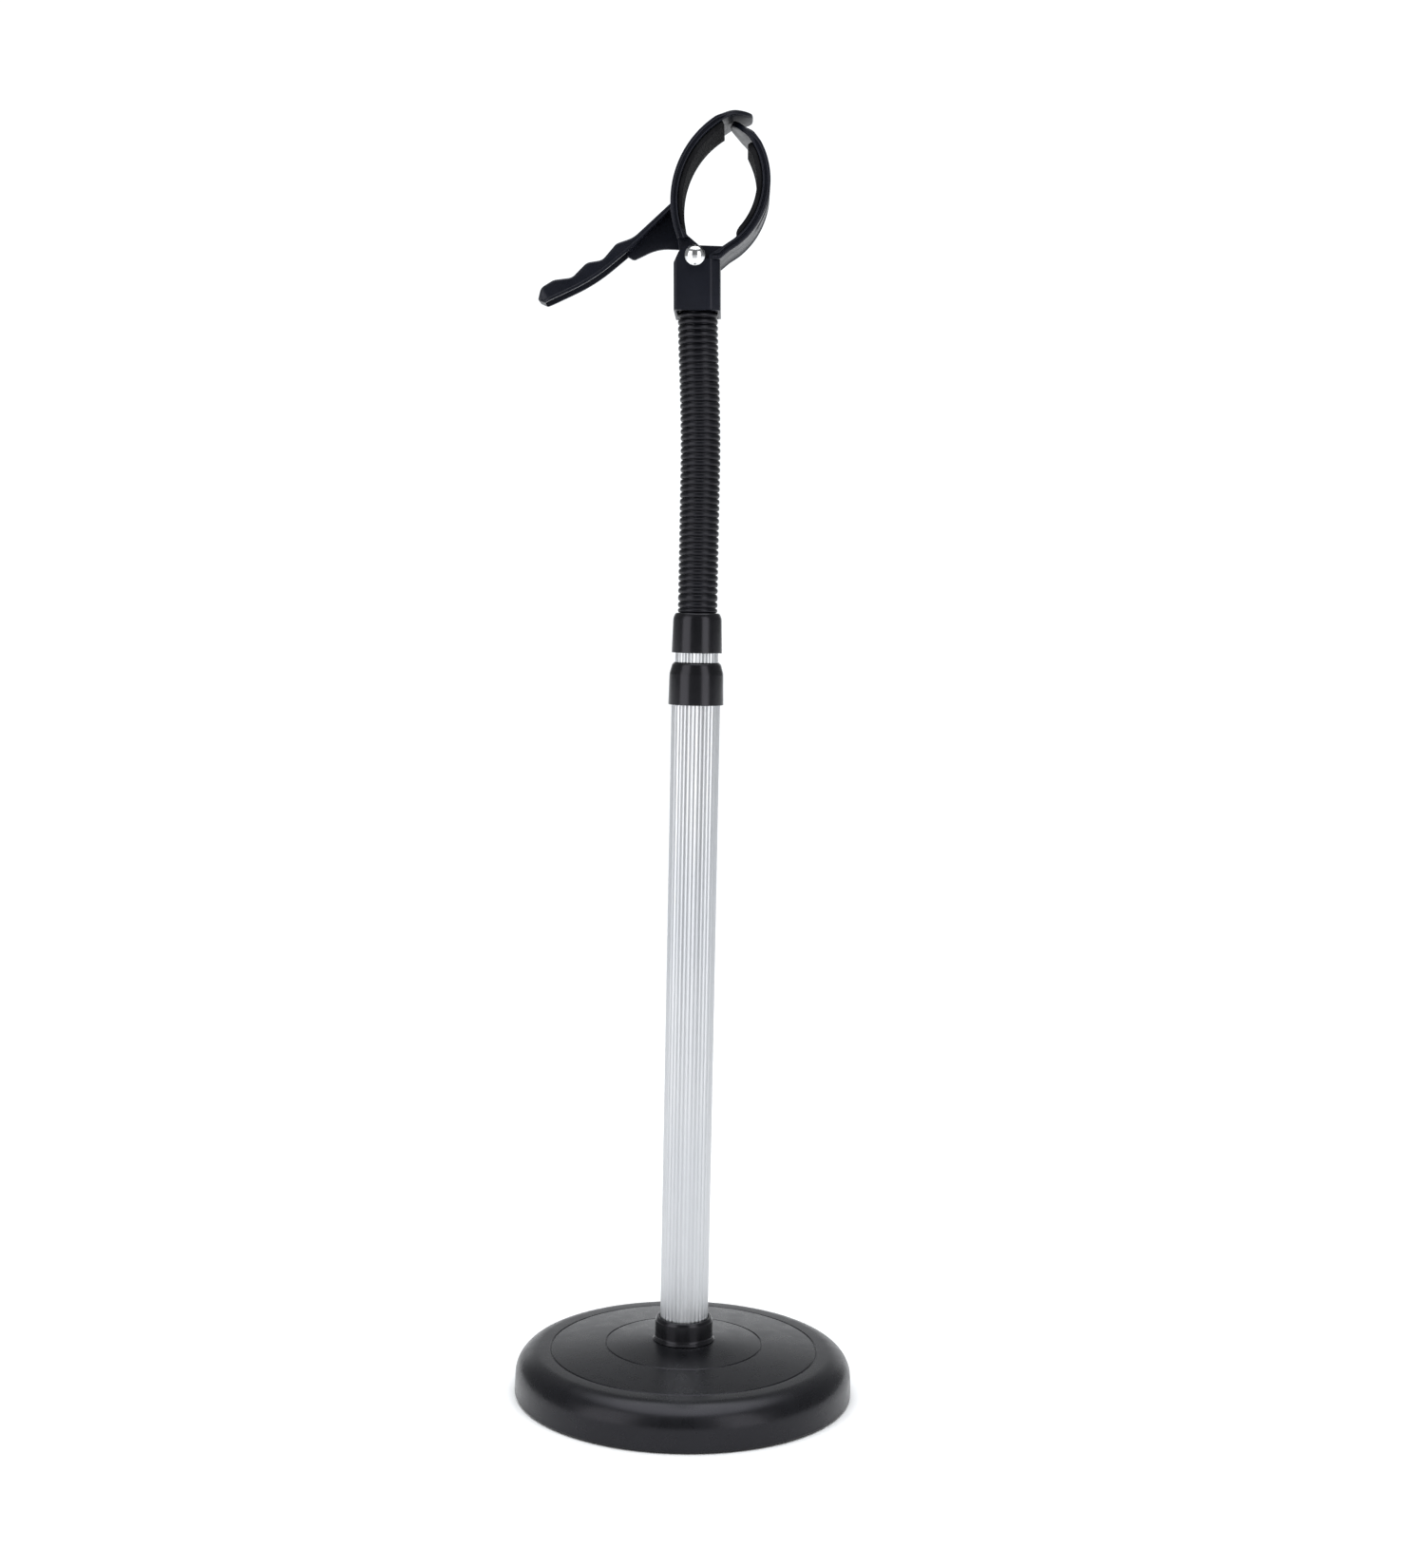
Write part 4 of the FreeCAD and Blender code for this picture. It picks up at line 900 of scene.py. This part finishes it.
def fixed_stations():
    """Stations of the fixed jaw from its tapered foot up to the thin tongue."""
    centre = FIXED_ARC_CENTRE
    outer_r = FIXED_ARC_RADIUS
    inner_r = outer_r - FIXED_BAND
    wide = JAW_HALF_WIDTH
    stations = []
    foot_inner = np.array((7.0, 0.2))
    root_inner = on_arc(centre, inner_r, FIXED_ROOT_DEG)
    foot_outer = fillet([
        on_arc(centre, outer_r, FIXED_FOOT_DEG),
        (12.2, BRACKET_TOP + 0.3, 1.0),
        on_arc(centre, outer_r, -60.0),
        on_arc(centre, outer_r, FIXED_ROOT_DEG),
    ], closed=False)
    for k in range(12):
        share = k / 12
        inner = foot_inner + (root_inner - foot_inner) * share
        x = foot_outer[0][0] + (foot_outer[-1][0] - foot_outer[0][0]) * share
        stations.append((inner, np.array((x, value_at(foot_outer, x))), wide, GROOVE_DEPTH, 0.0))
    end_x = on_arc(centre, inner_r - 0.6, FIXED_TIP_DEG)[0]
    tongue = FIXED_TIP_DEG - FIXED_TONGUE_DEG
    rib_start, rib_end = FIXED_RIB_DEG
    angles = list(np.arange(FIXED_ROOT_DEG, FIXED_TONGUE_DEG, 2.0))
    angles += [FIXED_TONGUE_DEG + tongue * math.sin(math.radians(a)) for a in range(5, 91, 5)]
    for angle in angles:
        thin = min(1.0, max(0.0, (angle - FIXED_THIN_FROM_DEG) / 9.0))
        thin = thin * thin * (3 - 2 * thin)
        inner = on_arc(centre, inner_r - 0.6 * thin, angle)
        outer = on_arc(centre, outer_r - 1.5 * thin, angle)
        from_end = inner[0] - end_x if angle > 0 else TONGUE_ROUND
        half = wide - shrunk(from_end, TONGUE_ROUND)
        groove = GROOVE_DEPTH * min(1.0, max(0.0, (FIXED_GROOVE_END_DEG - angle) / 6.0))
        rib_share = min(max(0.0, (angle - rib_start) / 3.0), max(0.0, (rib_end - angle) / 4.0))
        rib = RIB_HEIGHT * min(1.0, rib_share)
        stations.append(tip_station(inner, outer, half, from_end, groove, rib))
    return stations


def pad_stations(centre, outer_r, thick, angles, ramp_first, ramp_last, plan_round):
    """Stations of a rubber lining that thins away over a length at each of its ends.

    plan_round rounds the corners of its last end, as seen along its thickness.
    """
    stations = []
    first, last = angles[0], angles[-1]
    for angle in angles:
        from_first = math.radians(abs(angle - first)) * outer_r
        to_last = math.radians(abs(angle - last)) * outer_r
        thinned = shrunk(from_first, ramp_first) / ramp_first + shrunk(to_last, ramp_last) / ramp_last
        wide = PAD_HALF_WIDTH - shrunk(to_last, plan_round) - shrunk(from_first, 0.5)
        outer = on_arc(centre, outer_r, angle)
        inner = on_arc(centre, outer_r - thick * (1 - 0.85 * thinned), angle)
        stations.append((inner, outer, wide, 0.0, 0.0))
    return stations


def fine_range(start, end, step):
    """Angles from start to end, with closer ones near both ends."""
    sign = 1 if end > start else -1
    near = [0.0, 0.1, 0.3, 0.7]
    middle = list(np.arange(1.5, abs(end - start) - 1.4, step))
    offsets = near + middle + [abs(end - start) - n for n in reversed(near)]
    return [start + sign * offset for offset in offsets]


def jaws():
    """Both jaws with their rubber linings."""
    lever = band("lever_jaw_shell", lever_stations())
    finish_piece(lever, "lever", "clamp_black", ["lever_jaw"])
    fixed = band("fixed_jaw_shell", fixed_stations())
    finish_piece(fixed, "head", "clamp_black", ["fixed_jaw"])
    lever_lining = band("lever_jaw_lining", pad_stations(
        LEVER_ARC_CENTRE, LEVER_ARC_RADIUS - LEVER_BAND, LEVER_PAD,
        fine_range(LEVER_PAD_START_DEG, LEVER_PAD_END_DEG, 2.0), 1.2, 0.5, 0.8))
    finish_piece(lever_lining, "lever", "pad_rubber", ["lever_pad"])
    fixed_lining = band("fixed_jaw_lining", pad_stations(
        FIXED_ARC_CENTRE, FIXED_ARC_RADIUS - FIXED_BAND, FIXED_PAD,
        fine_range(FIXED_PAD_START_DEG, FIXED_PAD_END_DEG, 2.0), 5.0, 1.6, 7.0))
    finish_piece(fixed_lining, "head", "pad_rubber", ["fixed_pad"])


def ears():
    """Ears of both jaws round the rivet, and the lever's web."""
    lever_ear = [
        (-9.0, 10.5),
        (-4.0, 10.5),
        (2.2, 5.4, 2.0),
        (5.9, 2.0, 2.0),
        (5.9, -4.4, 3.5),
        (0.0, -6.4, 5.0),
        (-5.9, -4.4, 3.5),
        (-8.2, 4.0, 3.0),
    ]
    fixed_ear = [
        (0.0, 5.2, 1.5),
        (15.6, 4.9, 0.5),
        (18.6, 6.4),
        (14.0, 2.2),
        (9.0, -0.4, 0.5),
        (6.0, -6.0, 2.0),
        (-5.5, -6.0, 4.0),
        (-5.5, 4.0, 4.0),
    ]
    for side, label in ((-1, "front"), (1, "back")):
        near, far = sorted(side * y for y in LEVER_EAR_Y)
        finish_piece(slab("lever_ear_" + label, lever_ear, near, far), "lever", "clamp_black")
        near, far = sorted(side * y for y in FIXED_EAR_Y)
        finish_piece(slab("fixed_ear_" + label, fixed_ear, near, far), "head", "clamp_black")
    web = slab("lever_web", [
        (-8.6, 28.0),
        (-33.6, 6.0),
        (-35.2, 2.0, 2.0),
        (-31.0, -0.4, 2.5),
        (-19.0, 5.6, 22.0),
        (-8.4, 5.4),
        (-7.2, 12.0),
    ], -WEB_HALF_WIDTH, WEB_HALF_WIDTH)
    finish_piece(web, "lever", "clamp_black")


def handle_axes(x, z):
    """Distance along the handle's slope and height over it, of a point from the pivot."""
    slope = math.radians(HANDLE_SLOPE_DEG)
    return -x * math.cos(slope) - z * math.sin(slope), -x * math.sin(slope) + z * math.cos(slope)


def handle_point(along, height):
    """The reverse of handle_axes."""
    slope = math.radians(HANDLE_SLOPE_DEG)
    x = -along * math.cos(slope) - height * math.sin(slope)
    return x, height * math.cos(slope) - along * math.sin(slope)


HANDLE_TOP = [
    (-7.0, 32.5),
    (-31.0, 9.9, 14.0),
    (-39.6, 6.8, 5.0),
    (-46.4, -1.4, 5.5),
    (-54.2, -2.8, 5.5),
    (-61.4, -10.3, 5.5),
    (-70.6, -11.6, 6.5),
    (-76.8, -15.5, 5.0),
    (-78.5, -21.0),
]
HANDLE_UNDER = [
    (-8.0, 28.4),
    (-32.0, 4.4, 60.0),
    (-50.6, -11.4, 90.0),
    (-74.6, -23.0, 1.2),
    (-78.5, -21.6),
]


def squeeze_handle():
    """Channel open below with three finger rests, its rim thickened to a bead."""
    top = [handle_axes(*p) for p in fillet(HANDLE_TOP, closed=False, step_deg=5.0)]
    under = [handle_axes(*p) for p in fillet(HANDLE_UNDER, closed=False, step_deg=2.0)]
    tip = max(p[0] for p in top)
    hollow_from = handle_axes(-34.8, 5.2)[0]
    hollow_to = tip - 2.2
    plan_round = HANDLE_TIP_ROUND
    along = list(np.arange(-9.0, tip - plan_round, 0.8))
    along += [hollow_from, hollow_from + 0.3, hollow_to, hollow_to + 0.3]
    along += [tip - plan_round * (1 - math.sin(math.radians(a))) for a in range(0, 90, 6)]
    along = sorted(set(round(a, 3) for a in along))
    points = []
    for a in along:
        high = value_at(top, a)
        low = value_at(under, a)
        wide = HANDLE_HALF_WIDTH - shrunk(tip - a, plan_round)
        hollow = hollow_from < a < hollow_to + 0.1
        for height, y in handle_section(high, low, wide, hollow):
            x, z = handle_point(a, height)
            points.append((PIVOT[0] + x, y, PIVOT[2] + z))
    count = len(points) // len(along)
    faces = grid_faces(len(along), count)
    faces.append(tuple(range(count)))
    faces.append(tuple(range(len(points) - count, len(points))))
    handle = make_object("squeeze_handle", points, faces, sharp_deg=38.0)
    finish_piece(handle, "lever", "clamp_black")


def handle_section(high, low, wide, hollow):
    """Ring round the handle's cross-section, as (height, y) points."""
    room = high - low
    shoulder = min(1.5, room * 0.4)
    bead = min(1.3, room * 0.3)
    lip = HANDLE_LIP
    half = [(high, 0.0), (high, wide * 0.5)]
    for angle_deg in (0, 22, 45, 68, 90):
        angle = math.radians(angle_deg)
        height = high - shoulder * (1 - math.cos(angle))
        half.append((height, wide - lip - shoulder * (1 - math.sin(angle))))
    half += [(low + bead + 0.35, wide - lip), (low + bead, wide - 0.1), (low + bead - 0.15, wide),
             (low + 0.2, wide), (low, wide - 0.2)]
    wall = max(wide - HANDLE_WALL, 0.2)
    roof = high - HANDLE_WALL if hollow else low
    half += [(low, wall), (min(roof, low + 0.2), wall - 0.05), (max(roof - 1.0, low), wall - 0.15),
             (roof, max(wall - 1.2, 0.1)), (roof, 0.0)]
    return half + [(height, -y) for height, y in reversed(half[1:-1])]


# ---------------------------------------------------------------- studio
def look_towards(pan_deg, pitch_deg, roll_deg):
    """Rotation of a camera that looks along +Y, turned by pan, pitch and roll."""
    pan, pitch, roll = (math.radians(v) for v in (pan_deg, pitch_deg, roll_deg))
    forward = Vector((math.sin(pan) * math.cos(pitch), math.cos(pan) * math.cos(pitch), -math.sin(pitch)))
    right = Vector((math.cos(pan), -math.sin(pan), 0))
    up = right.cross(forward)
    rolled_right = right * math.cos(roll) + up * math.sin(roll)
    rolled_up = up * math.cos(roll) - right * math.sin(roll)
    return Matrix((rolled_right, rolled_up, -forward)).transposed()


def camera():
    """The camera, placed round the stand from its front."""
    azimuth = math.radians(CAMERA_AZIMUTH_DEG)
    data = bpy.data.cameras.new("camera")
    data.lens = CAMERA_LENS
    data.sensor_width = 36.0
    obj = bpy.data.objects.new("camera", data)
    bpy.context.scene.collection.objects.link(obj)
    side = CAMERA_DISTANCE * math.sin(azimuth)
    place = Vector((side, -CAMERA_DISTANCE * math.cos(azimuth), CAMERA_HEIGHT))
    turn = look_towards(CAMERA_PAN_DEG, CAMERA_PITCH_DEG, CAMERA_ROLL_DEG)
    obj.matrix_world = Matrix.Translation(place) @ turn.to_4x4()
    bpy.context.scene.camera = obj


def softbox(name, azimuth_deg, size, level):
    """A rectangular lamp at an azimuth from the front, aimed at the stand; level is its brightness."""
    azimuth = math.radians(azimuth_deg)
    width, height = size
    data = bpy.data.lights.new(name, "AREA")
    data.shape = "RECTANGLE"
    data.size = width
    data.size_y = height
    data.energy = level * math.pi * width * height
    obj = bpy.data.objects.new(name, data)
    bpy.context.scene.collection.objects.link(obj)
    place = Vector((LAMP_DISTANCE * math.sin(azimuth), -LAMP_DISTANCE * math.cos(azimuth), LAMP_HEIGHT))
    aim = Vector((0, 0, LAMP_HEIGHT)) - place
    obj.location = place
    obj.rotation_mode = "QUATERNION"
    obj.rotation_quaternion = aim.to_track_quat("-Z", "Y")
    obj.visible_camera = False


def surroundings():
    """Studio all round: pale overhead, white beyond the stand, dimmer on the viewer's side."""
    world = bpy.data.worlds.new("studio")
    world.use_nodes = True
    tree = world.node_tree
    coordinates = tree.nodes.new("ShaderNodeTexCoord")
    parts = tree.nodes.new("ShaderNodeSeparateXYZ")
    tree.links.new(coordinates.outputs["Generated"], parts.inputs["Vector"])
    walls = ramp(tree, parts.outputs["Y"], -0.9, 0.5, FRONT_LEVEL, SIDE_LEVEL)
    beyond = ramp(tree, parts.outputs["Y"], 0.80, 0.91, 0.0, WHITE_LEVEL)
    low = ramp(tree, parts.outputs["Z"], 0.27, 0.36, 1.0, 0.0)
    overhead = ramp(tree, parts.outputs["Z"], 0.78, 0.92, 0.0, OVERHEAD_LEVEL)
    patch = arithmetic(tree, "MULTIPLY", beyond, low)
    total = arithmetic(tree, "ADD", arithmetic(tree, "ADD", walls, patch), overhead)
    tree.nodes["Background"].inputs["Color"].default_value = (0.96, 0.98, 1, 1)
    tree.links.new(total, tree.nodes["Background"].inputs["Strength"])
    bpy.context.scene.world = world


def ramp(tree, source, from_low, from_high, low, high):
    """A smooth step from one value to another."""
    made = node(tree, "ShaderNodeMapRange", From_Min=from_low, From_Max=from_high, To_Min=low, To_Max=high)
    made.interpolation_type = "SMOOTHSTEP"
    tree.links.new(source, made.inputs["Value"])
    return made.outputs["Result"]


def arithmetic(tree, operation, first, second):
    """Sum or product of two values."""
    made = tree.nodes.new("ShaderNodeMath")
    made.operation = operation
    tree.links.new(first, made.inputs[0])
    tree.links.new(second, made.inputs[1])
    return made.outputs["Value"]


def floor():
    """Pale paper floor, far larger than the stand, its colour darkened towards and behind the camera as painted
    shade.
    """
    mesh = bpy.data.meshes.new("floor")
    reach = FLOOR_REACH
    mesh.from_pydata([(-reach, -reach, 0), (reach, -reach, 0), (reach, reach, 0), (-reach, reach, 0)], [],
                     [(0, 1, 2, 3)])
    obj = bpy.data.objects.new("floor", mesh)
    bpy.context.scene.collection.objects.link(obj)
    material, tree, shader = new_material("floor_paper", specular=0.0)
    place = tree.nodes.new("ShaderNodeTexCoord")
    parts = tree.nodes.new("ShaderNodeSeparateXYZ")
    tree.links.new(place.outputs["Object"], parts.inputs["Vector"])
    # painted shade: the colour fades from the darkened one on the camera's side to the pale one under and beyond
    # the stand
    pale = ramp(tree, parts.outputs["Y"], *FLOOR_FADE_Y, 0.0, 1.0)
    tree.links.new(tint(tree, pale, FLOOR_PAINTED_SHADE, FLOOR_PALE), shader.inputs["Base Color"])
    shader.inputs["Roughness"].default_value = 0.95
    mesh.materials.append(material)


def studio():
    """Floor, surroundings and two tall soft lamps beside the camera."""
    bpy.context.scene.view_settings.view_transform = "Standard"
    floor()
    surroundings()
    softbox("lamp_left", -50, LAMP_LEFT_SIZE, LAMP_LEFT_LEVEL)
    softbox("lamp_right", 41, LAMP_RIGHT_SIZE, LAMP_RIGHT_LEVEL)


# ---------------------------------------------------------------- build
camera()
studio()
dress_cad_nodes()
base_shell()
base_collar()
foot_ring()
ribbed_pole("lower_pole_ribbed", "lower_pole", "base", LOWER_POLE_BORE)
ribbed_pole("upper_pole_ribbed", "upper_pole", "upper_stage", UPPER_POLE_BORE)
lower_ferrule()
upper_ferrule()
gooseneck()
bracket()
rivet()
jaws()
ears()
squeeze_handle()
